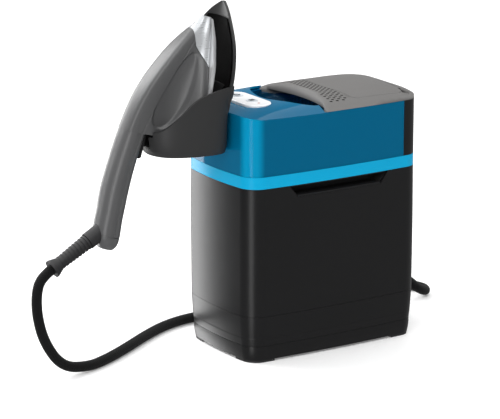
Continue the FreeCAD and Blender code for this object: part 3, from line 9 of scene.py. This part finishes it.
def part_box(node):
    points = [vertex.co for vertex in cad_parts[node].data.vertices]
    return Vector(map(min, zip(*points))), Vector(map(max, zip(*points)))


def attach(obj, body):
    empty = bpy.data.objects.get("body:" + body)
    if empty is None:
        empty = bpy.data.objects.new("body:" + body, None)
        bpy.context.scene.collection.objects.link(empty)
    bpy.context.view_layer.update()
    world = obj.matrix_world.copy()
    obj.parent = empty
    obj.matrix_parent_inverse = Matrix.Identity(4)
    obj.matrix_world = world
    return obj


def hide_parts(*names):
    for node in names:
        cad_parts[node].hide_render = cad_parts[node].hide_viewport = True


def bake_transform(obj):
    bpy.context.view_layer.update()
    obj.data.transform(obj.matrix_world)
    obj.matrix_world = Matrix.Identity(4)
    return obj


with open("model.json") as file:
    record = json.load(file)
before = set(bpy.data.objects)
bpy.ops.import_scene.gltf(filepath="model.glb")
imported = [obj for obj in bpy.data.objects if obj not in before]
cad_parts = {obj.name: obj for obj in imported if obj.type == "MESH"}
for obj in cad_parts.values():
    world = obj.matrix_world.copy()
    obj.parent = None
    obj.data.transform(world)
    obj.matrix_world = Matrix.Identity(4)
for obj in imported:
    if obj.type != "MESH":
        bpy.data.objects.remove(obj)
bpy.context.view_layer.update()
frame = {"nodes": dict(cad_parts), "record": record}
MM = 0.001
REAR_Y = 0.11125            # the base's rear face
BAR_BACK = 0.0235           # the rear edge of the tank cover's bar
WHITE = (1.0, 1.0, 1.0, 1.0)


def linked(name, data):
    """A new object in the scene."""
    thing = bpy.data.objects.new(name, data)
    bpy.context.scene.collection.objects.link(thing)
    return thing


# ---------------------------------------------------------------- camera

CAMERA_LENS, CAMERA_SENSOR = 206.9, 36.0
CAMERA_AT = (2.5707, -1.6928, 0.9767)
CAMERA_TOWARDS = (-0.0350, -0.0464, 0.1435)


def look(thing, at, towards):
    """Put a camera or lamp at a point, facing another."""
    thing.location = Vector(at)
    thing.rotation_euler = (Vector(towards) - Vector(at)).to_track_quat("-Z", "Y").to_euler()


cam_data = bpy.data.cameras.new("camera")
cam_data.lens = CAMERA_LENS
cam_data.sensor_width = CAMERA_SENSOR
cam_data.clip_end = 20.0
camera = linked("camera", cam_data)
look(camera, CAMERA_AT, CAMERA_TOWARDS)
bpy.context.scene.camera = camera
bpy.context.scene.view_settings.view_transform = "Standard"


# ---------------------------------------------------------------- the steam hose

# the head's own frame: along -Y from its nose to the handle's end, up from the sole
HEAD = Matrix.Translation((0, -0.11465, 0.376)) @ Matrix.Rotation(math.radians(73), 4, "X")
RELIEF_ROOT = Vector((0, -0.248, 0.070))
RELIEF_WAY = Vector((0, -0.722, 0.692))
RELIEF_LONG = 0.0705
HOSE_WIDE = 0.0114
HOSE_EXIT = (-0.038, REAR_Y + 0.025, 0.0415)
hose_start = HEAD @ (RELIEF_ROOT + RELIEF_WAY * RELIEF_LONG)
hose_way = HEAD.to_3x3() @ RELIEF_WAY

front_route = [(0, -334, 106), (0, -335, 80), (-2, -326, 46), (-5, -303, 13), (-10, -268, 5.8),
               (-24, -236, 5.8), (-46, -200, 5.8), (-72, -162, 5.8), (-94, -124, 5.8), (-105, -84, 5.8),
               (-100, -40, 5.8), (-91, 8, 5.8), (-88, 44, 5.8)]
rear_route = [(-88, 98, 27.0), (-89, 130, 15.0), (-88, 162, 5.9), (-84.5, 188, 5.8), (-77, 204, 5.8),
              (-61, 211, 5.8), (-45, 204.5, 6.4), (-38.5, 188, 13.5), (-38, 171, 27.5), (-38, 154, 41.5)]
route = [hose_start, hose_start + hose_way * 0.0125] + [Vector(p) * MM for p in front_route]
TURNS, PER_TURN = 2, 14
COIL_X, COIL_Y, COIL_RADIUS, COIL_WAVE = -150, 70, 62.0, 1.6
COIL_LOW, COIL_HIGH = 5.8, 29.0
for step in range(TURNS * PER_TURN + 1):
    angle = 2 * math.pi * step / PER_TURN
    climb = COIL_LOW + (COIL_HIGH - COIL_LOW) * step / (TURNS * PER_TURN)
    reach = COIL_RADIUS + COIL_WAVE * math.sin(angle * 0.5)
    route.append(Vector((COIL_X + reach * math.cos(angle), COIL_Y + reach * math.sin(angle), climb)) * MM)
route += [Vector(p) * MM for p in rear_route]
route.append(Vector(HOSE_EXIT))


def nurbs(name, points):
    """A smooth curve object led by the points."""
    curve = bpy.data.curves.new(name, "CURVE")
    curve.dimensions = "3D"
    curve.resolution_u = 8
    spline = curve.splines.new("NURBS")
    spline.points.add(len(points) - 1)
    for knot, p in zip(spline.points, points):
        knot.co = (p.x, p.y, p.z, 1.0)
    spline.order_u = 3
    spline.use_endpoint_u = True
    return bpy.data.objects.new(name, curve)


def line_of(curve_object):
    """The points that the curve runs through, close together."""
    mesh = bpy.data.meshes.new_from_object(curve_object)
    return [v.co.copy() for v in mesh.vertices]


def tube_along(name, path, radius, around=16):
    """A round tube whose rings follow the path without twisting; u runs along it in metres."""
    mesh = bpy.data.meshes.new(name)
    work = bmesh.new()
    layer = work.loops.layers.uv.new("along")
    rings, runs, travelled = [], [], 0.0
    side = None
    for i, p in enumerate(path):
        ahead = path[min(i + 1, len(path) - 1)] - path[max(i - 1, 0)]
        ahead.normalize()
        if side is None:
            side = ahead.cross(Vector((1, 0, 0))).normalized()
        side = (side - ahead * side.dot(ahead)).normalized()
        other = ahead.cross(side)
        if i:
            travelled += (p - path[i - 1]).length
        runs.append(travelled)
        rings.append([work.verts.new(p + radius * (math.cos(2 * math.pi * k / around) * side
                                                   + math.sin(2 * math.pi * k / around) * other))
                      for k in range(around)])
    for i in range(len(rings) - 1):
        for k in range(around):
            n = (k + 1) % around
            face = work.faces.new((rings[i][k], rings[i][n], rings[i + 1][n], rings[i + 1][k]))
            face.smooth = True
            corners = ((runs[i], k), (runs[i], k + 1), (runs[i + 1], k + 1), (runs[i + 1], k))
            for loop, (along, turned) in zip(face.loops, corners):
                loop[layer].uv = (along, turned / around)
    for ring in (rings[0][::-1], rings[-1]):
        work.faces.new(ring)
    bmesh.ops.recalc_face_normals(work, faces=work.faces)
    work.to_mesh(mesh)
    work.free()
    return linked(name, mesh)


hose_line = line_of(nurbs("hose_line", route))
hose = tube_along("steam_hose", hose_line, HOSE_WIDE / 2)
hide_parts("steam_hose_front", "steam_hose_rear", "hose_coil")
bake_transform(hose)


# ---------------------------------------------------------------- materials

def material(name):
    """An empty material with its Principled shader."""
    made = bpy.data.materials.new(name)
    made.use_nodes = True
    tree = made.node_tree
    tree.nodes.clear()
    out = tree.nodes.new("ShaderNodeOutputMaterial")
    shader = tree.nodes.new("ShaderNodeBsdfPrincipled")
    tree.links.new(shader.outputs[0], out.inputs[0])
    return made, tree, shader


def noise(tree, scale, detail=2.0, source=None):
    """A noise over the piece's own coordinates, or over those given."""
    made = tree.nodes.new("ShaderNodeTexNoise")
    made.inputs["Scale"].default_value = scale
    made.inputs["Detail"].default_value = detail
    if source is None:
        source = tree.nodes.new("ShaderNodeTexCoord").outputs["Object"]
    tree.links.new(source, made.inputs["Vector"])
    return made.outputs["Fac"]


def mapped(tree, value, low, high, value_low=0.0, value_high=1.0):
    """The value stretched from its own range to low and high, and kept inside them."""
    made = tree.nodes.new("ShaderNodeMapRange")
    made.inputs["From Min"].default_value = value_low
    made.inputs["From Max"].default_value = value_high
    made.inputs["To Min"].default_value = low
    made.inputs["To Max"].default_value = high
    tree.links.new(value, made.inputs["Value"])
    return made.outputs["Result"]


def relief(tree, shader, height, strength, distance):
    """Bumps of the shader's surface."""
    made = tree.nodes.new("ShaderNodeBump")
    made.inputs["Strength"].default_value = strength
    made.inputs["Distance"].default_value = distance
    tree.links.new(height, made.inputs["Height"])
    tree.links.new(made.outputs["Normal"], shader.inputs["Normal"])


def toned(tree, shader, colour, tone):
    """The base colour, lighter and darker by the tone."""
    made = tree.nodes.new("ShaderNodeVectorMath")
    made.operation = "SCALE"
    made.inputs[0].default_value = colour
    tree.links.new(tone, made.inputs["Scale"])
    tree.links.new(made.outputs["Vector"], shader.inputs["Base Color"])


def calculated(tree, operation, *values):
    """One sum, of links and plain numbers."""
    made = tree.nodes.new("ShaderNodeMath")
    made.operation = operation
    for place, value in zip(made.inputs, values):
        if isinstance(value, (int, float)):
            place.default_value = value
        else:
            tree.links.new(value, place)
    return made.outputs[0]


SLOW_SCALE = 9.0            # noise scale of the slow drifts of tone


def moulded(name, colour, rough=0.42, grain=900.0, bump=0.06, spread=0.10, spec=0.5, coat=0.0):
    """Moulded or cast surface: fine texture in the relief, and slow drifts of tone and gloss."""
    made, tree, shader = material(name)
    fine = noise(tree, grain, 3.0)
    slow = noise(tree, SLOW_SCALE)
    toned(tree, shader, colour, mapped(tree, slow, 1.0 - spread, 1.0 + spread))
    tree.links.new(mapped(tree, fine, max(0.02, rough - 0.05), rough + 0.05), shader.inputs["Roughness"])
    relief(tree, shader, fine, bump, 0.0004)
    shader.inputs["Specular IOR Level"].default_value = spec
    shader.inputs["Coat Weight"].default_value = coat
    return made


LINE_SHARE = 0.03           # how much slower the lines change along their own way


def brushed(name, colour, rough=0.28, way="Z", stretch=60.0, metallic=1.0):
    """Metal with fine lines drawn along one axis."""
    made, tree, shader = material(name)
    place = tree.nodes.new("ShaderNodeTexCoord")
    scale = tree.nodes.new("ShaderNodeVectorMath")
    scale.operation = "MULTIPLY"
    scale.inputs[1].default_value = [stretch if axis != way else stretch * LINE_SHARE for axis in "XYZ"]
    tree.links.new(place.outputs["Object"], scale.inputs[0])
    lines = noise(tree, 22.0, 4.0, scale.outputs["Vector"])
    tree.links.new(mapped(tree, lines, rough * 0.7, rough * 1.3), shader.inputs["Roughness"])
    relief(tree, shader, lines, 0.08, 0.0002)
    shader.inputs["Base Color"].default_value = (*colour, 1.0)
    shader.inputs["Metallic"].default_value = metallic
    return made


HIGHLIGHT_FROM, HIGHLIGHT_FULL = 0.12, 0.42   # product of the normal's X and Y where the painted highlight on the rounded corners starts and is full


def tinted(name, colour, deep, rough=0.06, alpha=0.5, corner=None):
    """Clear coloured plastic: light passes with the tint, and a painted highlight, the corner colour,
    brightens the rounded corners.
    """
    made, tree, shader = material(name)
    nodes, links = tree.nodes, tree.links
    faced = nodes.new("ShaderNodeSeparateXYZ")
    links.new(nodes.new("ShaderNodeTexCoord").outputs["Normal"], faced.inputs[0])
    both_ways = calculated(tree, "MULTIPLY", faced.outputs["X"], faced.outputs["Y"])
    # painted highlight: the corner colour is mixed in where the normal turns between X and Y, on the rounded
    # corners
    painted_highlight = mapped(tree, calculated(tree, "ABSOLUTE", both_ways), 0.0, 1.0, HIGHLIGHT_FROM, HIGHLIGHT_FULL)
    blend = nodes.new("ShaderNodeMix")
    blend.data_type = "RGBA"
    links.new(painted_highlight, blend.inputs["Factor"])
    blend.inputs["A"].default_value = (*colour, 1.0)
    blend.inputs["B"].default_value = (*(corner or colour), 1.0)
    links.new(blend.outputs["Result"], shader.inputs["Base Color"])
    shader.inputs["Roughness"].default_value = rough
    shader.inputs["IOR"].default_value = 1.5
    shader.inputs["Specular IOR Level"].default_value = 0.18
    relief(tree, shader, noise(tree, 14.0), 0.03, 0.0006)
    clear = nodes.new("ShaderNodeBsdfTransparent")
    clear.inputs["Color"].default_value = (*deep, 1.0)
    facing = nodes.new("ShaderNodeLayerWeight")
    facing.inputs["Blend"].default_value = 0.35
    both = nodes.new("ShaderNodeMixShader")
    links.new(mapped(tree, facing.outputs["Facing"], alpha, min(1.0, alpha + 0.45)), both.inputs[0])
    links.new(clear.outputs[0], both.inputs[1])
    links.new(shader.outputs[0], both.inputs[2])
    links.new(both.outputs[0], nodes["Material Output"].inputs[0])
    return made


STRANDS_PER_METRE, STRANDS_ROUND = 420.0, 12


def braided(name, colour):
    """Hose cover: a fine woven sleeve, its crossings drawn from the tube's own length and turn."""
    made, tree, shader = material(name)
    uv = tree.nodes.new("ShaderNodeUVMap")
    uv.uv_map = "along"
    split = tree.nodes.new("ShaderNodeSeparateXYZ")
    tree.links.new(uv.outputs["UV"], split.inputs[0])

    def wave(sign):
        along = calculated(tree, "MULTIPLY", split.outputs["X"], 2 * math.pi * STRANDS_PER_METRE)
        turned = calculated(tree, "MULTIPLY", split.outputs["Y"], sign * 2 * math.pi * STRANDS_ROUND)
        return calculated(tree, "SINE", calculated(tree, "ADD", along, turned))

    weave = calculated(tree, "MAXIMUM", wave(1), wave(-1))
    toned(tree, shader, colour, mapped(tree, weave, 0.55, 1.25, -1.0, 1.0))
    relief(tree, shader, weave, 0.5, 0.0005)
    shader.inputs["Roughness"].default_value = 0.7
    shader.inputs["Sheen Weight"].default_value = 0.04
    shader.inputs["Specular IOR Level"].default_value = 0.15
    return made


LOOKS = {
    "charcoal_plastic": moulded("charcoal_plastic", (0.0060, 0.0060, 0.0065), 0.34, 1400, 0.05, spec=0.28),
    "dark_plastic": moulded("dark_plastic", (0.014, 0.014, 0.0145), 0.52, 1400, 0.05, spec=0.12),
    "band_blue": moulded("band_blue", (0.0003, 0.31, 0.54), 0.25, 900, 0.02, 0.03, spec=0.12),
    # clear_blue's corner colour is a painted highlight on its rounded corners
    "clear_blue": tinted("clear_blue", (0.0002, 0.16, 0.31), (0.02, 0.40, 0.64), 0.06, 0.48,
                         corner=(0.001, 0.42, 0.72)),
    "clear_tank": tinted("clear_tank", (0.001, 0.07, 0.14), (0.25, 0.62, 0.80), 0.07, 0.30),
    "warm_grey": moulded("warm_grey", (0.125, 0.122, 0.119), 0.5, 1600, 0.06, 0.05, spec=0.25),
    "panel_white": moulded("panel_white", (0.93, 0.94, 0.95), 0.22, 900, 0.02, 0.02, coat=0.4),
    "button_grey": moulded("button_grey", (0.62, 0.66, 0.70), 0.35, 1200, 0.04, 0.03),
    "led": moulded("led", (0.50, 0.06, 0.03), 0.15, 900, 0.02, 0.02, coat=0.5),
    "rubber": moulded("rubber", (0.012, 0.012, 0.013), 0.62, 2200, 0.18, 0.15),
    "seal_rubber": moulded("seal_rubber", (0.36, 0.37, 0.38), 0.6, 2200, 0.15, 0.10),
    "chrome_nose": brushed("chrome_nose", (0.50, 0.515, 0.53), 0.30, "Y", 40, metallic=0.5),
    "head_grey": moulded("head_grey", (0.062, 0.0625, 0.064), 0.38, 1500, 0.05, 0.08, spec=0.6),
    "aluminium": brushed("aluminium", (0.74, 0.75, 0.76), 0.32, "Y", 60, metallic=0.6),
    "steel": brushed("steel", (0.52, 0.53, 0.54), 0.30, "Z", 60),
    "brass": brushed("brass", (0.60, 0.42, 0.16), 0.30, "Z", 60),
    "copper": brushed("copper", (0.62, 0.32, 0.20), 0.28, "Z", 60),
    "board_green": moulded("board_green", (0.012, 0.14, 0.05), 0.35, 700, 0.10, 0.12),
    "natural_plastic": moulded("natural_plastic", (0.56, 0.58, 0.58), 0.40, 1200, 0.05, 0.04),
    "hose_grey": braided("hose_grey", (0.0025, 0.0026, 0.0029)),
    # the slots' near-black colour is painted shade inside the slots
    "slot_painted_shade": moulded("slot_painted_shade", (0.010, 0.010, 0.010), 0.6, 1600, 0.05, 0.05, spec=0.1),
    "rib_blue": moulded("rib_blue", (0.07, 0.46, 0.68), 0.3, 900, 0.02, 0.05, spec=0.3),
    "sign_grey": moulded("sign_grey", (0.06, 0.065, 0.07), 0.45, 1500, 0.03, 0.05, spec=0.3),
    # the dock liner's near-black colour is painted shade inside the dock's pocket
    "liner_painted_shade": moulded("liner_painted_shade", (0.0015, 0.0015, 0.0015), 0.75, 1800, 0.12, 0.10, spec=0.03),
    "dock_grey": moulded("dock_grey", (0.024, 0.024, 0.0245), 0.46, 1500, 0.05, 0.08, spec=0.25),
}


def dress(thing, *look_names):
    """Give the piece these looks and no others."""
    thing.data.materials.clear()
    for look_name in look_names:
        thing.data.materials.append(LOOKS[look_name])


for entry in frame["record"]["subparts"]:
    thing = frame["nodes"][entry["node"]]
    if not thing.material_slots:
        thing.data.materials.append(LOOKS[entry["material_slot"]])
    for place in thing.material_slots:
        place.material = LOOKS[entry["material_slot"]]
dress(hose, "hose_grey")
# painted shade: the dock's pocket lining is coloured near-black
dress(frame["nodes"]["dock_liner"], "liner_painted_shade")
dress(frame["nodes"]["dock"], "dock_grey")


# ---------------------------------------------------------------- details that the eye looks for

def copy_of(node_name, name):
    """A copy of a CAD piece's mesh that may be reshaped."""
    mesh = frame["nodes"][node_name].data.copy()
    mesh.name = name
    return linked(name, mesh)


def settled(thing):
    """Give the piece the mesh that its modifiers make."""
    final = bpy.data.meshes.new_from_object(thing.evaluated_get(bpy.context.evaluated_depsgraph_get()))
    thing.modifiers.clear()
    thing.data = final


def mesh_thing(name, work):
    """An object with the finished bmesh, its faces turned outwards."""
    mesh = bpy.data.meshes.new(name)
    bmesh.ops.recalc_face_normals(work, faces=work.faces)
    work.to_mesh(mesh)
    work.free()
    return linked(name, mesh)


def mesh_piece(name, work, look_name, body):
    """Turn a bmesh into a piece that rides on a body."""
    thing = mesh_thing(name, work)
    dress(thing, look_name)
    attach(thing, body)


def skin(work, rings):
    """Join closed rings of vertices in their order, and close both ends."""
    for a, b in zip(rings, rings[1:]):
        for i in range(len(a)):
            n = (i + 1) % len(a)
            work.faces.new((a[i], a[n], b[n], b[i]))
    work.faces.new(rings[0][::-1])
    work.faces.new(rings[-1])


def capsule(work, centre, along, across, up, length, width, low, high, around=6):
    """A round-ended upright block, from low to high along up."""
    rings = []
    for level in (low, high):
        ring = []
        for end in (1, -1):
            for k in range(around + 1):
                angle = -math.pi / 2 + math.pi * k / around
                u = end * ((length - width) / 2 + width / 2 * math.cos(angle))
                v = end * width / 2 * math.sin(angle)
                ring.append(work.verts.new(centre + along * u + across * v + up * level))
        rings.append(ring)
    skin(work, rings)


def surface_point(node_name, x, y, z=0.40):
    """Where a line dropped at x, y meets a CAD piece, and the way that its surface faces."""
    hit, at, normal, *_ = frame["nodes"][node_name].ray_cast(Vector((x, y, z)), Vector((0, 0, -1)))
    return (at, normal) if hit else (None, None)


# the bar between the finger bowl and the lid carries rows of small slots
SLOT_ROWS, SLOT_COLUMNS = 6, 18
SLOTS_WIDE, ROW_PITCH, FIRST_ROW = 0.110, 0.0040, 0.0030
SLOT_LONG, SLOT_WIDE, SLOT_DEEP, SLOT_ABOVE = 0.0036, 0.0019, 0.0013, 0.0012
SLOT_WAY = Vector((0.25, 1.0, 0))
LEVEL_ENOUGH = 0.6          # the least upward part of the normal where a slot may be cut
EDGE_AWAY, EDGE_DROP = 0.0045, 0.004    # a slot isn't cut where the surface falls away this near
cutter = bmesh.new()
for row in range(SLOT_ROWS):
    for column in range(SLOT_COLUMNS):
        x = SLOTS_WIDE * ((column + 0.5 * (row % 2)) / (SLOT_COLUMNS - 0.5) - 0.5)
        y = BAR_BACK - FIRST_ROW - ROW_PITCH * row
        at, normal = surface_point("tank_cover", x, y)
        if at is None or normal.z < LEVEL_ENOUGH:
            continue
        edge_at, _ = surface_point("tank_cover", x, y - EDGE_AWAY)
        if edge_at is None or abs(edge_at.z - at.z) > EDGE_DROP:
            continue
        along = (SLOT_WAY - normal * normal.dot(SLOT_WAY)).normalized()
        capsule(cutter, at, along, normal.cross(along), normal, SLOT_LONG, SLOT_WIDE, -SLOT_DEEP, SLOT_ABOVE)
slots = mesh_thing("slots", cutter)
# the slots' walls and floors are coloured near-black: painted shade inside the slots
dress(slots, "warm_grey", "slot_painted_shade")
for face in slots.data.polygons:
    face.material_index = 1
cover = copy_of("tank_cover", "slotted_cover")
dress(cover, "warm_grey", "slot_painted_shade")
carve = cover.modifiers.new("slots", "BOOLEAN")
carve.operation = "DIFFERENCE"
carve.solver = "EXACT"
carve.material_mode = "INDEX"
carve.object = slots
settled(cover)
bpy.data.objects.remove(slots)
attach(cover, "tank")
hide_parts("tank_cover")


# the head's sides are dished: a drop-shaped panel set in below the band
PANEL_MIDDLE = (0.0855, 0.0325)
PANEL_TILT = math.radians(16)
PANEL_HALF_LONG, PANEL_HALF_WIDE = 0.0460, 0.0140
PANEL_TAPER, PANEL_BLUNT = 0.27, 0.8
PANEL_DEEP = 0.0023
PANEL_SLOPE = 0.0030


def drop_outline(count=48):
    """The panel's edge in the head's own frame, along it and up: a blunt oval, wider towards the handle."""
    points = []
    for step in range(count):
        turn = 2 * math.pi * step / count
        along = PANEL_HALF_LONG * math.cos(turn)
        wide = PANEL_HALF_WIDE * abs(math.sin(turn)) ** PANEL_BLUNT * (1 + PANEL_TAPER * math.cos(turn))
        across = math.copysign(wide, math.sin(turn))
        points.append((PANEL_MIDDLE[0] + along * math.cos(PANEL_TILT) - across * math.sin(PANEL_TILT),
                       PANEL_MIDDLE[1] + along * math.sin(PANEL_TILT) + across * math.cos(PANEL_TILT)))
    return points


def depth_inside(u, v, outline):
    """How far a point lies inside a closed outline; negative outside it."""
    inside, nearest = False, 1.0
    for (u0, v0), (u1, v1) in zip(outline, outline[1:] + outline[:1]):
        if (v0 > v) != (v1 > v) and u < u0 + (v - v0) * (u1 - u0) / (v1 - v0):
            inside = not inside
        span = (u1 - u0) ** 2 + (v1 - v0) ** 2
        t = max(0.0, min(1.0, ((u - u0) * (u1 - u0) + (v - v0) * (v1 - v0)) / span))
        nearest = min(nearest, math.hypot(u - u0 - t * (u1 - u0), v - v0 - t * (v1 - v0)))
    return nearest if inside else -nearest


head_skin = copy_of("head_body", "head_skin")
remesh = head_skin.modifiers.new("even", "REMESH")
remesh.mode = "VOXEL"
remesh.voxel_size = 0.0010
remesh.use_smooth_shade = True
ease = head_skin.modifiers.new("ease", "SMOOTH")
ease.factor = 0.5
ease.iterations = 3
settled(head_skin)
outline = drop_outline()
head_frame = HEAD.inverted()
PANEL_ALONG, PANEL_HIGH = (0.038, 0.133), (0.012, 0.058)    # the panel lies well inside these
NEAR_MIDDLE = 0.006         # vertices this near the head's middle plane aren't on its sides
for vertex in head_skin.data.vertices:
    at = head_frame @ vertex.co
    on_side = PANEL_ALONG[0] < -at.y < PANEL_ALONG[1] and PANEL_HIGH[0] < at.z < PANEL_HIGH[1]
    if not on_side or abs(at.x) < NEAR_MIDDLE:
        continue
    share = max(0.0, min(1.0, depth_inside(-at.y, at.z, outline) / PANEL_SLOPE))
    share = share * share * (3 - 2 * share)
    at.x -= math.copysign(PANEL_DEEP * share, at.x)
    vertex.co = HEAD @ at
dress(head_skin, "head_grey")
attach(head_skin, "steam_head")
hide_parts("head_body")


# upright ribs on the outside of the tank's side walls show through the clear shell
ribs = bmesh.new()
RIB_COUNT, RIB_PITCH, FIRST_RIB = 16, 0.0054, -0.020
RIB_LOW, RIB_HIGH, RIB_RISE, RIB_LEAN = 0.2165, 0.2500, 0.0004, 0.006
RIB_SECTION = ((-0.0003, -0.0010), (0.0004, -0.0005), (0.0004, 0.0005), (-0.0003, 0.0010))
RIB_STEPS = 8
tank_wall = frame["nodes"]["water_tank"]
for side in (-1, 1):
    for k in range(RIB_COUNT):
        y = FIRST_RIB + RIB_PITCH * k
        high_z = RIB_HIGH + RIB_RISE * k
        column = []
        for step in range(RIB_STEPS + 1):
            z = RIB_LOW + (high_z - RIB_LOW) * step / RIB_STEPS
            lean = RIB_LEAN * (1 - k / RIB_COUNT) * (step / RIB_STEPS) ** 2
            hit, at, *_ = tank_wall.ray_cast(Vector((side * 0.090, y + lean, z)), Vector((-side, 0, 0)))
            if hit:
                column.append(at)
        if len(column) >= 3:
            skin(ribs, [[ribs.verts.new(at + Vector((out * side, across, 0))) for out, across in RIB_SECTION]
                        for at in column])
mesh_piece("tank_ribs", ribs, "rib_blue", "tank")


# the grips' floors: a bowed shelf with an eased edge behind the housing's wall, one on each side
shelf = bmesh.new()
SHELF_FRONT, SHELF_LONG, SHELF_STEPS = -0.0515, 0.1080, 14
SHELF_INNER, SHELF_LOW, SHELF_HIGH, SHELF_EASE = 0.0500, 0.1826, 0.1838, 0.0007
SHELF_BEHIND, LIP_LEVEL = 0.0005, 0.178     # behind the housing's face, measured below the grip
housing = frame["nodes"]["main_housing"]
for side in (-1, 1):
    rings = []
    for step in range(SHELF_STEPS + 1):
        y = SHELF_FRONT + SHELF_LONG * step / SHELF_STEPS
        hit, at, *_ = housing.ray_cast(Vector((side * 0.12, y, LIP_LEVEL)), Vector((-side, 0, 0)))
        far = abs(at.x) - SHELF_BEHIND
        section = ((SHELF_INNER, SHELF_LOW), (far, SHELF_LOW), (far, 0.1832), (far - SHELF_EASE, SHELF_HIGH),
                   (SHELF_INNER, SHELF_HIGH))
        rings.append([shelf.verts.new((side * x, y, z)) for x, z in section])
    skin(shelf, rings)
mesh_piece("grip_floors", shelf, "dark_plastic", "base")


# raised symbols: a power ring with its bar, and three steam waves
def raised_strip(work, points, half, base_z, top_z):
    """A flat strip with upright sides along a plan line."""
    rows = []
    for i, p in enumerate(points):
        ahead = (points[min(i + 1, len(points) - 1)] - points[max(i - 1, 0)]).normalized()
        side = Vector((-ahead.y, ahead.x)) * half
        rows.append([work.verts.new((p.x + side.x * s, p.y + side.y * s, z))
                     for s, z in ((-1, base_z), (1, base_z), (1, top_z), (-1, top_z))])
    skin(work, rows)


SIGN_HALF, WAVE_HALF, SIGN_DEEP = 0.00040, 0.00038, 0.0003
RING_RADIUS, RING_GAP, RING_STEPS = 0.0030, 0.7, 20
WAVE_APART, WAVE_SWING, WAVE_LONG, WAVE_STEPS, WAVE_TURN = 0.0022, 0.0006, 0.0064, 14, 0.9
for button, name in (("power_button", "power_symbol"), ("mode_button", "mode_symbol")):
    low, high = [Vector(corner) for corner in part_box(button)]
    middle = (low + high) / 2
    sign = bmesh.new()
    base_z = high.z - SIGN_DEEP
    if button == "power_button":
        arc = []
        for step in range(RING_STEPS + 1):
            turn = RING_GAP + (2 * math.pi - 2 * RING_GAP) * step / RING_STEPS
            arc.append(middle.xy + RING_RADIUS * Vector((math.sin(turn), math.cos(turn))))
        bar = [middle.xy + Vector((0, 0.0012)), middle.xy + Vector((0, 0.0042))]
        raised_strip(sign, arc, SIGN_HALF, base_z, high.z)
        raised_strip(sign, bar, SIGN_HALF, base_z, high.z)
    else:
        for shift in (-WAVE_APART, 0.0, WAVE_APART):
            wave = [middle.xy + Vector((shift + WAVE_SWING * math.sin(i * WAVE_TURN),
                                        WAVE_LONG * (i / WAVE_STEPS - 0.5)))
                    for i in range(WAVE_STEPS + 1)]
            raised_strip(sign, wave, WAVE_HALF, base_z, high.z)
    mesh_piece(name, sign, "sign_grey", button)


# ---------------------------------------------------------------- studio

FLOOR_HALF, FLOOR_GLOW, WORLD_GLOW = 6.0, 0.16, 0.38
floor_mesh = bpy.data.meshes.new("floor")
work = bmesh.new()
bmesh.ops.create_grid(work, x_segments=2, y_segments=2, size=FLOOR_HALF)
work.to_mesh(floor_mesh)
work.free()
floor = linked("floor", floor_mesh)
floor.data.materials.append(moulded("floor_white", (0.90, 0.90, 0.90), 0.55, 40, 0.0, 0.01))
floor.visible_glossy = False
floor_shader = next(n for n in floor.data.materials[0].node_tree.nodes if n.type == "BSDF_PRINCIPLED")
floor_shader.inputs["Emission Color"].default_value = WHITE
floor_shader.inputs["Emission Strength"].default_value = FLOOR_GLOW


def area(name, at, towards, wide, high, watts):
    """A soft lamp that the camera doesn't see."""
    lamp = bpy.data.lights.new(name, "AREA")
    lamp.shape = "RECTANGLE"
    lamp.size, lamp.size_y = wide, high
    lamp.energy = watts
    thing = linked(name, lamp)
    look(thing, at, towards)
    thing.visible_camera = False


area("left_panel", (-1.70, -0.56, 0.20), (0, -0.12, 0.2), 0.60, 2.6, 30)
area("left_high", (-1.25, -1.15, 1.75), (0, -0.2, 0.2), 1.1, 1.1, 26)
area("fill", (1.7, -1.2, 2.1), (0, -0.08, 0.25), 0.9, 0.9, 12)
area("corner_panel", (1.00, -1.60, 0.20), (0.03, -0.1, 0.16), 0.60, 2.2, 16)
area("top", (0.0, 0.2, 3.0), (0, 0.2, 0.0), 5.0, 5.0, 118)
area("back", (-0.4, 2.4, 1.1), (0, 0, 0.15), 1.4, 1.0, 14)
world = bpy.data.worlds.new("studio")
world.use_nodes = True
background = world.node_tree.nodes["Background"]
background.inputs["Color"].default_value = WHITE
background.inputs["Strength"].default_value = WORLD_GLOW
bpy.context.scene.world = world
